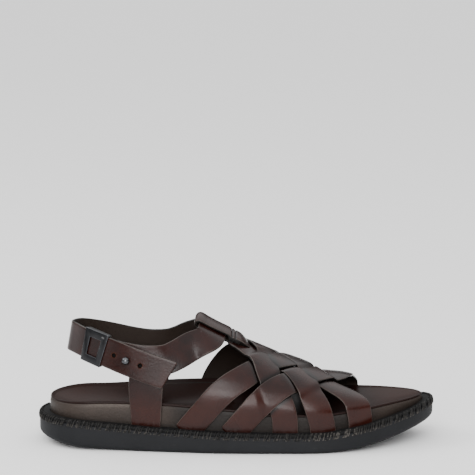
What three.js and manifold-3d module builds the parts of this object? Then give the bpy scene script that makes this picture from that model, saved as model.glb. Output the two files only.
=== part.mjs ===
// Woven leather sandal for the right foot, in millimetres.
// +X runs to the toe, +Y to the inner side of the foot, +Z up. The floor is Z = 0, under the middle of the sole.
import * as THREE from "three";
import { mergeVertices } from "three/addons/utils/BufferGeometryUtils.js";
import Module from "manifold-3d";

const wasm = await Module();
wasm.setup();

// Sole
const soleLength = 295;
const ballWidth = 105;
const heelRound = 40; // length of the round end of the heel
const toeRound = 59; // length of the round end of the toe
const toeSpring = 16; // lift of the toe tip
const heelThickness = 17; // outsole under the heel
const soleEdgeRound = 3;
const soleTopRound = 0.8;

// Welt and footbed
const ledge = 8; // from the outsole's edge to the footbed's wall
const weltInset = 0.6;
const weltThickness = 2.2;
const weltRound = 0.8;
const footbedHeight = 18; // footbed wall at the outer waist
const insoleThickness = 2;
const bowlReach = 26; // how far the dish of the footbed takes to level out
const lipRound = 0.7;

// Leather strips
const instepHeight = 99; // crest of the last at the throat
const stripWidth = 19;
const stripThickness = 2;
const weld = 0.15; // depth that joined strips share
const crossFade = 6; // length over which a strip rises onto another
const barWidth = 21; // centre strip over the instep
const barFoldAt = 0.393; // share of the sole's length at the fold of the centre strip
const barAround = 0.478; // share of the way round the last
const barStitch = 29.6; // from the fold to the seam that closes the loop
const barOverlap = 5; // what lies doubled in front of the seam
const barDrop = 6; // length of the step down to a single layer
const loopGap = 0.6; // over and under the ankle strap inside the loop

// Ankle strap
const bandWidth = 22;
const bandThickness = 2;
const ankleHalf = 36; // half the width across the posts
const slingHeight = 79.8; // middle of the strap at the heel
const postWidth = 22;
const postFlare = 1.2; // what the post gains at its top
const tabSkew = 0.25; // slant of the tab's end
const holeRadius = 1.75;
const holePitch = 10.5;
const studFromEnd = 33.5;

// Metal parts
const studBall = 2.9;
const studNeck = 1.3;
const studBase = 3.4;
const studBaseThickness = 1.1;
const keeperLength = 18;
const keeperPlate = 1.2;
const keeperBar = 4.5;
const keeperFromEnd = 61;

const seatGap = 0.3; // between pieces that touch

const sides = { outer: -1, inner: 1 };
const stations = 28; // along each side of the sole

// Outline of the outsole: middle line and half width as shares of the ball width
const plan = [
  { at: 0.0, centre: -0.0095, half: 0.381 },
  { at: 0.13, centre: -0.0095, half: 0.376 },
  { at: 0.3, centre: -0.0385, half: 0.4045 },
  { at: 0.45, centre: -0.05, half: 0.445 },
  { at: 0.6, centre: -0.0175, half: 0.486 },
  { at: 0.7, centre: 0.0016, half: 0.5 },
  { at: 0.8, centre: 0.03, half: 0.471 },
  { at: 0.9, centre: 0.0665, half: 0.41 },
  { at: 1.0, centre: 0.095, half: 0.343 },
];

// Side view of the sole: lift as a share of the toe spring, thickness of the heel thickness,
// and the footbed's two rims and its middle as shares of the footbed height above the outsole
const profile = [
  { at: 0.0, lift: 0.42, thick: 0.79, outer: 0.76, inner: 0.76, bed: 0.4 },
  { at: 0.1, lift: 0.12, thick: 1.01, outer: 0.84, inner: 0.9, bed: 0.44 },
  { at: 0.16, lift: 0.045, thick: 1.0, outer: 0.95, inner: 0.99, bed: 0.46 },
  { at: 0.3, lift: 0.0, thick: 0.9, outer: 1.08, inner: 1.25, bed: 0.5 },
  { at: 0.45, lift: 0.0, thick: 0.775, outer: 1.07, inner: 1.39, bed: 0.58 },
  { at: 0.6, lift: 0.0, thick: 0.72, outer: 0.87, inner: 1.16, bed: 0.64 },
  { at: 0.72, lift: 0.0, thick: 0.735, outer: 0.83, inner: 0.94, bed: 0.62 },
  { at: 0.8, lift: 0.14, thick: 0.785, outer: 0.79, inner: 0.83, bed: 0.56 },
  { at: 0.9, lift: 0.52, thick: 0.75, outer: 0.62, inner: 0.58, bed: 0.42 },
  { at: 1.0, lift: 1.0, thick: 0.68, outer: 0.31, inner: 0.31, bed: 0.2 },
];

// The last over the footbed: crest as a share of the instep height, its place across as a share of the
// ball width, and how full each side of the section is (2 is an ellipse)
const last = [
  { at: 0.3, crest: 1.09, ridge: 0.019, full: 2.0 },
  { at: 0.36, crest: 0.975, ridge: 0.019, full: 2.0 },
  { at: 0.42, crest: 0.864, ridge: 0.019, full: 2.0 },
  { at: 0.5, crest: 0.742, ridge: 0.029, full: 2.0 },
  { at: 0.58, crest: 0.631, ridge: 0.038, full: 2.1 },
  { at: 0.66, crest: 0.542, ridge: 0.048, full: 2.2 },
  { at: 0.74, crest: 0.46, ridge: 0.057, full: 2.3 },
  { at: 0.82, crest: 0.4, ridge: 0.067, full: 2.4 },
  { at: 0.9, crest: 0.365, ridge: 0.067, full: 2.5 },
];

// One side of each strip: around counts from the base (0) up over the foot, at counts along the sole
const sideLines = {
  rear: [
    { around: -0.06, at: 0.364 },
    { around: 0, at: 0.387 },
    { around: 0.085, at: 0.4225 },
    { around: 0.15, at: 0.454 },
    { around: 0.2, at: 0.485 },
    { around: 0.235, at: 0.51 },
    { around: 0.3, at: 0.549 },
    { around: 0.35, at: 0.573 },
    { around: 0.41, at: 0.604 },
  ],
  middle: [
    { around: -0.06, at: 0.484 },
    { around: 0, at: 0.504 },
    { around: 0.08, at: 0.533 },
    { around: 0.13, at: 0.552 },
    { around: 0.2, at: 0.594 },
    { around: 0.27, at: 0.645 },
    { around: 0.33, at: 0.677 },
    { around: 0.37, at: 0.695 },
  ],
  leg: [
    { around: -0.06, at: 0.62 },
    { around: 0, at: 0.62 },
    { around: 0.09, at: 0.6175 },
    { around: 0.175, at: 0.602 },
    { around: 0.28, at: 0.577 },
    { around: 0.375, at: 0.556 },
    { around: 0.42, at: 0.538 },
    { around: 0.45, at: 0.518 },
    { around: 0.468, at: 0.5 },
  ],
  fore: [
    { around: -0.06, at: 0.715 },
    { around: 0, at: 0.714 },
    { around: 0.07, at: 0.709 },
    { around: 0.13, at: 0.7 },
    { around: 0.195, at: 0.686 },
    { around: 0.25, at: 0.672 },
    { around: 0.32, at: 0.648 },
    { around: 0.41, at: 0.604 },
  ],
  front: [
    { around: -0.06, at: 0.808 },
    { around: 0, at: 0.807 },
    { around: 0.085, at: 0.804 },
    { around: 0.15, at: 0.797 },
    { around: 0.2, at: 0.785 },
    { around: 0.25, at: 0.765 },
    { around: 0.3, at: 0.737 },
    { around: 0.37, at: 0.695 },
  ],
};

// Strips from the outer base to the inner base: axis is where the two sides of a pair cross, and shift is
// how much further forward the inner base lies than the outer base of the strip's pair
const stripRows = [
  { name: "rear", outer: "rear", inner: "fore", axis: 0.41, shift: 0 },
  { name: "middle", outer: "middle", inner: "front", axis: 0.37, shift: -0.022 },
  { name: "fore", outer: "fore", inner: "rear", axis: 0.41, shift: 0.025 },
  { name: "front", outer: "front", inner: "middle", axis: 0.37, shift: 0.01 },
  { name: "outerLeg", outer: "leg", axis: 0.478, shift: 0 },
  { name: "innerLeg", inner: "leg", axis: 0.478, shift: 0 },
];

const crossings = [
  { over: "outerLeg", under: "rear" },
  { over: "rear", under: "fore" },
  { over: "front", under: "rear" },
  { over: "middle", under: "outerLeg" },
  { over: "fore", under: "middle" },
  { over: "middle", under: "front" },
  { over: "fore", under: "innerLeg" },
  { over: "innerLeg", under: "front" },
];

// Ankle strap from its hidden outer end over the instep, round the heel and back to the tab.
// at is along the sole, out a share of ankleHalf, up of slingHeight, turn and lean the way its face looks
// in degrees, and layer counts how many strap thicknesses it lies outside the first layer. Where it passes
// through the loop of the centre strip it lies on the last, at the place that around gives
const bandRows = [
  { at: 0.19, out: -0.815, up: 0.875, turn: -112, lean: 5, layer: 0 },
  { at: 0.229, out: -0.945, up: 0.852, turn: -103, lean: 6, layer: 0 },
  { at: 0.276, out: -1.01, up: 0.835, turn: -95, lean: 8, layer: 0 },
  { at: 0.324, out: -0.985, up: 0.842, turn: -87, lean: 15, layer: 0 },
  { at: 0.3535, out: -0.9, up: 0.882, turn: -78, lean: 24, layer: 0 },
  { at: 0.3865, out: -0.745, up: 0.942, turn: -66, lean: 34, layer: 0 },
  { at: 0.425, around: 0.375 },
  { at: 0.4325, around: 0.43 },
  { at: 0.435, around: 0.478 },
  { at: 0.4335, around: 0.53 },
  { at: 0.427, around: 0.585 },
  { at: 0.3865, out: 0.775, up: 0.94, turn: 66, lean: 34, layer: 0 },
  { at: 0.3535, out: 0.905, up: 0.872, turn: 78, lean: 24, layer: 0 },
  { at: 0.324, out: 0.965, up: 0.832, turn: 87, lean: 15, layer: 0 },
  { at: 0.276, out: 0.98, up: 0.82, turn: 93, lean: 8, layer: 0 },
  { at: 0.229, out: 0.92, up: 0.847, turn: 101, lean: 6, layer: 0 },
  { at: 0.18, out: 0.8, up: 0.895, turn: 112, lean: 5, layer: 0 },
  { at: 0.134, out: 0.59, up: 0.944, turn: 127, lean: 5, layer: 0 },
  { at: 0.0985, out: 0.31, up: 0.982, turn: 150, lean: 8, layer: 0 },
  { at: 0.0805, out: -0.02, up: 0.99, turn: 180, lean: 10, layer: 0 },
  { at: 0.097, out: -0.31, up: 0.982, turn: 208, lean: 8, layer: 0 },
  { at: 0.132, out: -0.6, up: 0.953, turn: 232, lean: 4, layer: 0.5 },
  { at: 0.19, out: -0.815, up: 0.882, turn: 248, lean: 5, layer: 1 },
  { at: 0.229, out: -0.945, up: 0.832, turn: 257, lean: 6, layer: 1 },
  { at: 0.283, out: -1.015, up: 0.76, turn: 264, lean: 8, layer: 1.15 },
  { at: 0.335, out: -1.03, up: 0.697, turn: 267, lean: 9, layer: 1.9 },
];

// Each post: where it stands along the sole, and where it meets the band as a share of the band's length
const posts = [
  { side: "outer", at: 0.274, meets: 0.077 },
  { side: "inner", at: 0.278, meets: 0.505 },
];

const finishes = {
  outsole: { color: 0x222223, roughness: 0.75, metalness: 0 },
  welt: { color: 0x1b1a1a, roughness: 0.8, metalness: 0 },
  midsole: { color: 0x4a3a33, roughness: 0.7, metalness: 0 },
  insole: { color: 0x3d211b, roughness: 0.5, metalness: 0 },
  upper: { color: 0x4b2019, roughness: 0.42, metalness: 0 },
  ankle_strap: { color: 0x47221b, roughness: 0.45, metalness: 0 },
  stud: { color: 0x55585c, roughness: 0.3, metalness: 1 },
  keeper: { color: 0x1d1e21, roughness: 0.4, metalness: 1 },
};

const clamp = THREE.MathUtils.clamp;
const lerp = THREE.MathUtils.lerp;
const smooth = THREE.MathUtils.smoothstep;

// All columns of a table at one place, on a smooth curve through its rows
function read(rows, place, by = "at") {
  let i = 0;
  while (i < rows.length - 2 && rows[i + 1][by] < place) i += 1;
  const slope = (key, j) => (rows[j + 1][key] - rows[j][key]) / (rows[j + 1][by] - rows[j][by]);
  const tangent = (key, j) => {
    if (j === 0) return slope(key, 0);
    if (j === rows.length - 1) return slope(key, j - 1);
    const before = rows[j][by] - rows[j - 1][by];
    const after = rows[j + 1][by] - rows[j][by];
    return (slope(key, j - 1) * after + slope(key, j) * before) / (before + after);
  };
  const step = rows[i + 1][by] - rows[i][by];
  const t = clamp((place - rows[i][by]) / step, 0, 1);
  const found = {};
  for (const key of Object.keys(rows[i])) {
    if (key === by) continue;
    const rise = rows[i][key] * (2 * t ** 3 - 3 * t ** 2 + 1) + rows[i + 1][key] * (3 * t ** 2 - 2 * t ** 3);
    const bend = tangent(key, i) * (t ** 3 - 2 * t ** 2 + t) + tangent(key, i + 1) * (t ** 3 - t ** 2);
    found[key] = rise + step * bend;
  }
  return found;
}

// Sole

const soleBottom = (at) => toeSpring * Math.max(0, read(profile, at).lift);
const soleTop = (at) => soleBottom(at) + heelThickness * read(profile, at).thick;
const rimHeight = (at, side) => soleTop(at) + footbedHeight * read(profile, at)[side];
const bedHeight = (at) => soleTop(at) + footbedHeight * read(profile, at).bed;
const alongSole = (at) => (at - 0.5) * soleLength;

// Share of the full width that the round ends leave
function roundEnds(place, inset) {
  const length = soleLength - 2 * inset;
  const fromHeel = (place * length) / (heelRound - inset);
  const fromToe = ((1 - place) * length) / (toeRound - inset);
  if (fromHeel < 1) return Math.sqrt(1 - (1 - fromHeel) ** 2);
  if (fromToe < 1) return Math.sqrt(1 - (1 - fromToe) ** 2.1);
  return 1;
}

function edgeAcross(at, side, inset = 0) {
  const share = inset / soleLength;
  const place = clamp((at - share) / (1 - 2 * share), 0, 1);
  const { centre, half } = read(plan, place);
  return ballWidth * centre + sides[side] * (ballWidth * half - inset) * roundEnds(place, inset);
}

// One closed ring round the sole, outer side from heel to toe and inner side back
function soleRing(inset, height) {
  const ring = [];
  const share = inset / soleLength;
  const point = (i, side) => {
    const place = (1 - Math.cos((Math.PI * i) / stations)) / 2;
    const at = share + place * (1 - 2 * share);
    return new THREE.Vector3(alongSole(at), edgeAcross(at, side, inset), height(at, side));
  };
  for (let i = 0; i <= stations; i += 1) ring.push(point(i, "outer"));
  for (let i = stations - 1; i > 0; i -= 1) ring.push(point(i, "inner"));
  return ring;
}

// Rings joined into one closed skin: a ring shape that closes on itself, or a body with two caps
function skin(rings, closes = false) {
  const count = rings[0].length;
  const corners = rings.flat();
  const index = [];
  const last = closes ? rings.length : rings.length - 1;
  for (let r = 0; r < last; r += 1) {
    const low = r * count;
    const high = ((r + 1) % rings.length) * count;
    for (let i = 0; i < count; i += 1) {
      const j = (i + 1) % count;
      index.push(low + i, low + j, high + j, low + i, high + j, high + i);
    }
  }
  const cap = (start, up) => {
    for (let i = 0; i < stations; i += 1) {
      const quad = [i, i + 1, (count - i - 1) % count, (count - i) % count].map((k) => start + k);
      if (!up) quad.reverse();
      index.push(quad[0], quad[1], quad[2], quad[0], quad[2], quad[3]);
    }
  };
  if (!closes) {
    cap(0, false);
    cap((rings.length - 1) * count, true);
  }
  const geometry = new THREE.BufferGeometry().setFromPoints(corners);
  geometry.setIndex(index);
  return solidOf(geometry);
}

// Solids

function solidOf(geometry) {
  geometry.deleteAttribute("normal");
  geometry.deleteAttribute("uv");
  const merged = mergeVertices(geometry, 1e-4);
  const corners = [...merged.index.array];
  const kept = [];
  for (let i = 0; i < corners.length; i += 3) {
    const [a, b, c] = corners.slice(i, i + 3);
    if (a !== b && b !== c && c !== a) kept.push(a, b, c);
  }
  const mesh = new wasm.Mesh({
    numProp: 3,
    vertProperties: new Float32Array(merged.attributes.position.array),
    triVerts: new Uint32Array(kept),
  });
  return new wasm.Manifold(mesh);
}

function geometryOf(solid) {
  const { numProp, vertProperties, triVerts } = solid.getMesh();
  const geometry = new THREE.BufferGeometry();
  const places = [];
  for (let i = 0; i < vertProperties.length; i += numProp) {
    places.push(vertProperties[i], vertProperties[i + 1], vertProperties[i + 2]);
  }
  geometry.setAttribute("position", new THREE.Float32BufferAttribute(places, 3));
  geometry.setIndex([...triVerts]);
  geometry.computeVertexNormals();
  return geometry;
}

// Moves each corner of a geometry to where the map puts it
function bent(geometry, map) {
  const places = geometry.attributes.position;
  for (let i = 0; i < places.count; i += 1) {
    const to = map(places.getX(i), places.getY(i), places.getZ(i));
    places.setXYZ(i, to.x, to.y, to.z);
  }
  return solidOf(geometry);
}

const joined = (solids) => solids.reduce((all, one) => all.add(one));

// Fills the small pockets that joined layers enclose
function filled(solid) {
  return joined(solid.decompose().filter((body) => body.volume() > 0));
}

function outsole() {
  const cornerShare = 1 - Math.SQRT1_2;
  return skin([
    soleRing(soleEdgeRound, soleBottom),
    soleRing(soleEdgeRound * cornerShare, (at) => soleBottom(at) + soleEdgeRound * cornerShare),
    soleRing(0, (at) => soleBottom(at) + soleEdgeRound),
    soleRing(0, (at) => soleTop(at) - soleTopRound),
    soleRing(soleTopRound, soleTop),
  ]);
}

// What lies under the pieces that stand on the outsole
function underSole() {
  const below = -footbedHeight;
  return skin([soleRing(0, () => below), soleRing(0, (at) => soleTop(at) + seatGap)]);
}

function weltRing() {
  const height = (rise) => (at) => soleTop(at) + seatGap + rise;
  const inner = ledge - seatGap;
  return skin(
    [
      soleRing(weltInset, height(0)),
      soleRing(weltInset, height(weltThickness - weltRound)),
      soleRing(weltInset + weltRound, height(weltThickness)),
      soleRing(inner, height(weltThickness)),
      soleRing(inner, height(0)),
    ],
    true,
  );
}

// Top of the footbed at a distance inside its rim
function dish(inside) {
  const left = Math.max(0, 1 - inside / bowlReach) ** 2;
  return (at, side) => lerp(bedHeight(at), rimHeight(at, side), left);
}

const dishSteps = [0.08, 0.24, 0.5, 0.85].map((share) => share * bowlReach);

function midsole() {
  const drop = insoleThickness + seatGap;
  const lowered = (inside) => (at, side) => dish(inside)(at, side) - drop;
  return skin([
    soleRing(ledge, (at) => soleTop(at) + seatGap),
    soleRing(ledge, (at, side) => lowered(0)(at, side) - lipRound),
    soleRing(ledge + lipRound, lowered(lipRound)),
    ...dishSteps.map((inside) => soleRing(ledge + inside, lowered(inside))),
  ]);
}

function insole() {
  const under = (inside) => (at, side) => dish(inside)(at, side) - insoleThickness;
  const steps = [lipRound, ...dishSteps];
  return skin([
    ...[...steps].reverse().map((inside) => soleRing(ledge + inside, under(inside))),
    soleRing(ledge, (at, side) => under(0)(at, side) + lipRound),
    soleRing(ledge, (at, side) => rimHeight(at, side) - lipRound),
    ...steps.map((inside) => soleRing(ledge + inside, dish(inside))),
  ]);
}

// Last

// A point of the last: around runs from the outer base (0) over the crest (0.5) to the inner base (1)
function lastPoint(at, around) {
  const { crest, ridge, full } = read(last, at);
  const side = around < 0.5 ? "outer" : "inner";
  const wall = edgeAcross(at, side, ledge) + sides[side] * seatGap;
  const base = soleTop(at) + seatGap;
  const rim = rimHeight(at, side);
  const top = instepHeight * crest;
  const middle = ballWidth * ridge;
  const steps = 24;
  const arc = [];
  for (let i = 0; i <= steps; i += 1) {
    const turn = (Math.PI / 2) * (i / steps);
    arc.push([
      middle + (wall - middle) * Math.cos(turn) ** (2 / full),
      rim + (top - rim) * Math.sin(turn) ** (2 / full),
    ]);
  }
  const lengths = arc.slice(1).map((p, i) => Math.hypot(p[0] - arc[i][0], p[1] - arc[i][1]));
  const whole = rim - base + lengths.reduce((sum, one) => sum + one, 0);
  let left = whole * (side === "outer" ? 2 * around : 2 * (1 - around)) - (rim - base);
  if (left <= 0) return new THREE.Vector3(alongSole(at), wall, rim + left);
  let i = 0;
  while (i < steps - 1 && left > lengths[i]) {
    left -= lengths[i];
    i += 1;
  }
  const share = Math.min(1, left / lengths[i]);
  return new THREE.Vector3(
    alongSole(at),
    lerp(arc[i][0], arc[i + 1][0], share),
    lerp(arc[i][1], arc[i + 1][1], share),
  );
}

// The two directions of the last's surface at a point, and the way it faces
function lastFrame(at, around) {
  const small = 0.004;
  const difference = (a, b) => a.sub(b).divideScalar(2 * small);
  const forward = difference(lastPoint(at + small, around), lastPoint(at - small, around));
  const over = difference(lastPoint(at, around + small), lastPoint(at, around - small));
  const out = new THREE.Vector3().crossVectors(forward, over).normalize();
  return { forward, over, out };
}

const liftedPoint = (at, around, off) =>
  lastPoint(at, around).addScaledVector(lastFrame(at, around).out, off);

// The place on the last that lies a distance beside a line running in direction (dAt, dAround)
function beside(at, around, dAt, dAround, distance) {
  const { forward, over, out } = lastFrame(at, around);
  const along = forward.clone().multiplyScalar(dAt).addScaledVector(over, dAround).normalize();
  const across = new THREE.Vector3().crossVectors(out, along);
  const ff = forward.dot(forward);
  const fo = forward.dot(over);
  const oo = over.dot(over);
  const af = across.dot(forward);
  const ao = across.dot(over);
  const whole = ff * oo - fo * fo;
  return {
    at: at + (distance * (af * oo - ao * fo)) / whole,
    around: around + (distance * (ao * ff - af * fo)) / whole,
  };
}

// Upper

// The whole line of a strip, the inner half being the outer half of its pair seen from the other side
function stripLine({ outer, inner, axis, shift }) {
  const mirrored = (row) => ({
    around: 1 - (row.around * (1 - axis)) / axis,
    at: row.at + shift * smooth(1 - row.around / axis, 0, 1),
  });
  const near = outer ? sideLines[outer] : [];
  const far = inner ? sideLines[inner].map(mirrored).reverse() : [];
  return near.length && far.length ? [...near, ...far.slice(1)] : [...near, ...far];
}

const strips = stripRows.map((row) => {
  const line = stripLine(row);
  const from = line[0].around;
  const to = line[line.length - 1].around;
  const placeAt = (share) => {
    const around = lerp(from, to, share);
    return { at: read(line, around, "around").at, around };
  };
  const middle = [];
  for (let i = 0; i <= 60; i += 1) {
    const { at, around } = placeAt(i / 60);
    middle.push(lastPoint(at, around));
  }
  return { name: row.name, whole: Boolean(row.outer && row.inner), placeAt, middle };
});

// How far a strip stands off the last, where it passes over others
function liftOver(name, point) {
  let lift = 0;
  for (const { over, under } of crossings) {
    if (over !== name) continue;
    const below = strips.find((strip) => strip.name === under);
    const distance = Math.min(...below.middle.map((place) => place.distanceTo(point)));
    const flat = stripWidth / 2 + 1;
    lift = Math.max(lift, 1 - smooth(distance, flat, flat + crossFade));
  }
  return lift * (stripThickness - weld);
}

function strip({ name, placeAt, whole }, { grow = 0, from = 0, to = 1 } = {}) {
  const steps = whole ? 38 : 20;
  const box = new THREE.BoxGeometry(1, 1, 1, Math.ceil(steps * (to - from)), 3, 1);
  const width = stripWidth + 2 * grow;
  return bent(box, (x, y, z) => {
    const share = lerp(from, to, x + 0.5);
    const here = placeAt(share);
    const before = placeAt(Math.max(0, share - 0.01));
    const after = placeAt(Math.min(1, share + 0.01));
    const spot = beside(here.at, here.around, after.at - before.at, after.around - before.around, y * width);
    const point = lastPoint(spot.at, spot.around);
    const off = liftOver(name, point) + (z + 0.5) * stripThickness + 2 * z * grow;
    return liftedPoint(spot.at, spot.around, off);
  });
}

// A strip of even thickness along a flat line, as one closed outline
function thickened(line, thickness) {
  const edge = (way) =>
    line.map((point, i) => {
      const before = line[Math.max(0, i - 1)];
      const after = line[Math.min(line.length - 1, i + 1)];
      const side = new THREE.Vector2(before.y - after.y, after.x - before.x).normalize();
      return point.clone().addScaledVector(side, (way * thickness) / 2);
    });
  return [...edge(1), ...edge(-1).reverse()];
}

// Centre strip: folded back under the ankle strap at its rear end and sewn down in front of it
function centreBar() {
  const low = stripThickness / 2;
  const high = stripThickness + bandThickness + 2 * loopGap + low;
  const doubled = low + stripThickness - weld;
  const radius = (high - low) / 2;
  const line = [new THREE.Vector2(barStitch + barOverlap, low), new THREE.Vector2(barStitch, low)];
  for (let i = 0; i <= 8; i += 1) {
    const turn = Math.PI * (1.5 - i / 8);
    line.push(new THREE.Vector2(radius * (1 + Math.cos(turn)), low + radius * (1 + Math.sin(turn))));
  }
  const rise = [
    { along: barStitch - 3.5, off: high },
    { along: barStitch - 1, off: lerp(high, doubled, 0.45) },
    { along: barStitch + 1.5, off: doubled },
    { along: barStitch + barOverlap, off: doubled },
    { along: barStitch + barOverlap + barDrop / 2, off: lerp(doubled, low, 0.6) },
    { along: barStitch + barOverlap + barDrop, off: low },
    { along: barStitch + barOverlap + 2 * barDrop, off: low },
  ];
  for (const { along, off } of rise) line.push(new THREE.Vector2(along, off));
  const shape = new THREE.Shape(thickened(line, stripThickness));
  const body = new THREE.ExtrudeGeometry(shape, { depth: 1, steps: 4, bevelEnabled: false });
  const stretch = lastFrame(barFoldAt + 0.05, barAround).forward.length();
  return bent(body, (x, y, z) => {
    const spot = beside(barFoldAt + x / stretch, barAround, 1, 0, (0.5 - z) * barWidth);
    return liftedPoint(spot.at, spot.around, y);
  });
}

function upper() {
  return filled(joined([...strips.map((one) => strip(one)), centreBar()]).subtract(underSole()));
}

// Ankle strap

const { degToRad, radToDeg } = THREE.MathUtils;

function facing({ turn, lean }) {
  const across = Math.cos(degToRad(lean));
  return new THREE.Vector3(
    across * Math.cos(degToRad(turn)),
    across * Math.sin(degToRad(turn)),
    Math.sin(degToRad(lean)),
  );
}

function bandCorner(row) {
  if (row.around) return liftedPoint(row.at, row.around, stripThickness + loopGap + bandThickness / 2);
  const first = new THREE.Vector3(alongSole(row.at), ankleHalf * row.out, slingHeight * row.up);
  return first.addScaledVector(facing(row), row.layer * (bandThickness + seatGap));
}

const bandCurve = new THREE.CatmullRomCurve3(bandRows.map(bandCorner), false, "centripetal");
bandCurve.arcLengthDivisions = 600;
const bandLength = bandCurve.getLength();
const bandTurns = bandRows.map(({ at, around, turn, lean }, index) => {
  if (!around) return { index, turn, lean };
  const { x, y, z } = lastFrame(at, around).out;
  return { index, turn: radToDeg(Math.atan2(y, x)), lean: radToDeg(Math.asin(z)) };
});

// A point of the band: share of its length, distance up from its middle, distance out from its mid thickness
function bandPoint(share, up, out) {
  const t = bandCurve.getUtoTmapping(clamp(share, 0, 1));
  const along = bandCurve.getTangent(t);
  const face = facing(read(bandTurns, t * (bandRows.length - 1), "index"));
  const across = new THREE.Vector3().crossVectors(face, along).normalize();
  const square = new THREE.Vector3().crossVectors(along, across);
  const past = (share - clamp(share, 0, 1)) * bandLength;
  return bandCurve
    .getPoint(t)
    .addScaledVector(across, up)
    .addScaledVector(square, out)
    .addScaledVector(along, past);
}

// The whole strap as one long strip, with the slanted end of the tab
function band() {
  const box = new THREE.BoxGeometry(1, 1, bandThickness, 80, 2, 1);
  return bent(box, (x, y, z) => {
    const share = x + 0.5;
    const slant = (tabSkew * bandWidth * y * smooth(share, 0.85, 1)) / bandLength;
    return bandPoint(share + slant, y * bandWidth, z);
  });
}

function post({ side, at, meets }, { grow = 0, to = 1 } = {}) {
  const box = new THREE.BoxGeometry(1, 1, 1, 12, 3, 1);
  const way = sides[side];
  const climb = 0.78;
  const lower = bandPoint(meets, -1, 0).z < bandPoint(meets, 1, 0).z ? -1 : 1;
  return bent(box, (x, y, z) => {
    const height = (x + 0.5) * to;
    const rising = smooth(height, 0.5, climb);
    const beyond = y * way * lerp(postWidth, postWidth + 2 * postFlare, rising);
    const out = z * (2 * grow + lerp(bandThickness, bandThickness - 2 * weld, rising));
    const share = meets - (way * beyond) / bandLength; // the band runs to the toe on the outer side only
    const reach = lower * (bandWidth / 2);
    if (height > climb) {
      return bandPoint(share, reach * (1 - (height - climb) / (1 - climb)), out);
    }
    const t = height / climb;
    const foot = at + (y * way * (postWidth + 2 * grow)) / soleLength;
    const wall = edgeAcross(foot, side, ledge) + way * (seatGap + bandThickness / 2 + out);
    const base = new THREE.Vector3(alongSole(foot), wall, soleTop(foot) - seatGap);
    const top = bandPoint(share, reach, out);
    const inward = bandPoint(share, reach * 0.5, out).sub(top).normalize();
    const hold = (top.z - base.z) / 3;
    const knee = base.clone().setZ(base.z + hold);
    const neck = top.clone().addScaledVector(inward, -hold);
    return new THREE.CubicBezierCurve3(base, knee, neck, top).getPoint(t);
  });
}

const studShare = 1 - studFromEnd / bandLength;

// A round peg square to the tab at a share of the band's length
function pegAt(share, geometry) {
  const from = bandPoint(share, 0, 0);
  const out = bandPoint(share, 0, 1).sub(from).normalize();
  const turn = new THREE.Quaternion().setFromUnitVectors(new THREE.Vector3(0, 1, 0), out);
  return solidOf(geometry.applyQuaternion(turn).translate(from.x, from.y, from.z));
}

function ankleStrap() {
  const strap = filled(joined([band(), ...posts.map(post)]).subtract(underSole()));
  const punch = bandThickness + 2 * seatGap;
  const holes = [-1, 1].map((step) =>
    pegAt(studShare + (step * holePitch) / bandLength, new THREE.CylinderGeometry(holeRadius, holeRadius, punch, 16)),
  );
  const deep = 4 * bandThickness;
  const neckHole = new THREE.CylinderGeometry(studNeck + seatGap, studNeck + seatGap, deep, 16);
  return strap.subtract(joined([...holes, pegAt(studShare, neckHole)]));
}

// Stud: a ball on a neck through both layers, with a flat base inside
function stud() {
  const inside = -(1.5 * bandThickness + 2 * seatGap);
  const outside = bandThickness / 2 + seatGap;
  const ball = outside + studBall * 0.85;
  const line = [
    [0, inside - studBaseThickness],
    [studBase, inside - studBaseThickness],
    [studBase, inside],
    [studNeck, inside],
    [studNeck, outside],
  ];
  const start = Math.asin(studNeck / studBall);
  const rings = 8;
  for (let i = 1; i <= rings; i += 1) {
    const turn = lerp(start, Math.PI, i / rings);
    line.push([i === rings ? 0 : studBall * Math.sin(turn), ball - studBall * Math.cos(turn)]);
  }
  const turned = new THREE.LatheGeometry(line.map(([x, y]) => new THREE.Vector2(x, y)), 16);
  return pegAt(studShare, turned);
}

// Keeper: a plate frame round the sling with a window in its face
function keeper() {
  const middle = 1 - keeperFromEnd / bandLength;
  const block = (length, width, low, high, cuts) =>
    bent(new THREE.BoxGeometry(1, 1, 1, cuts, 1, 1), (x, y, z) =>
      bandPoint(middle + (x * length) / bandLength, y * width, lerp(low, high, z + 0.5)),
    );
  const room = bandThickness / 2 + seatGap;
  const innerWidth = bandWidth + 2 * seatGap;
  const body = block(keeperLength, innerWidth + 2 * keeperPlate, -room - keeperPlate, room + keeperPlate, 8);
  const inner = block(keeperLength + 4, innerWidth, -room, room, 10);
  const window = block(keeperLength - 2 * keeperBar, innerWidth - 2 * keeperBar, 0, 4 * keeperPlate, 6);
  return body.subtract(inner).subtract(window);
}

function welt() {
  const notches = strips.flatMap((one) => {
    const parts = [];
    const near = { grow: seatGap, from: 0, to: one.whole ? 0.12 : 0.28 };
    const far = { grow: seatGap, from: one.whole ? 0.88 : 0.72, to: 1 };
    if (one.whole || one.name === "outerLeg") parts.push(strip(one, near));
    if (one.whole || one.name === "innerLeg") parts.push(strip(one, far));
    return parts;
  });
  for (const one of posts) notches.push(post(one, { grow: seatGap, to: 0.2 }));
  return weltRing().subtract(joined(notches));
}

const shoe = new THREE.Group();

function place(name, solid) {
  const mesh = new THREE.Mesh(geometryOf(solid), new THREE.MeshStandardMaterial(finishes[name]));
  mesh.name = name;
  shoe.add(mesh);
}

place("outsole", outsole());
place("welt", welt());
place("midsole", midsole());
place("insole", insole());
place("upper", upper());
place("ankle_strap", ankleStrap());
place("stud", stud());
place("keeper", keeper());

export default shoe;
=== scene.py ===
import math
import random

import bmesh
import bpy
import numpy as np
from mathutils import Matrix, Vector


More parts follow.
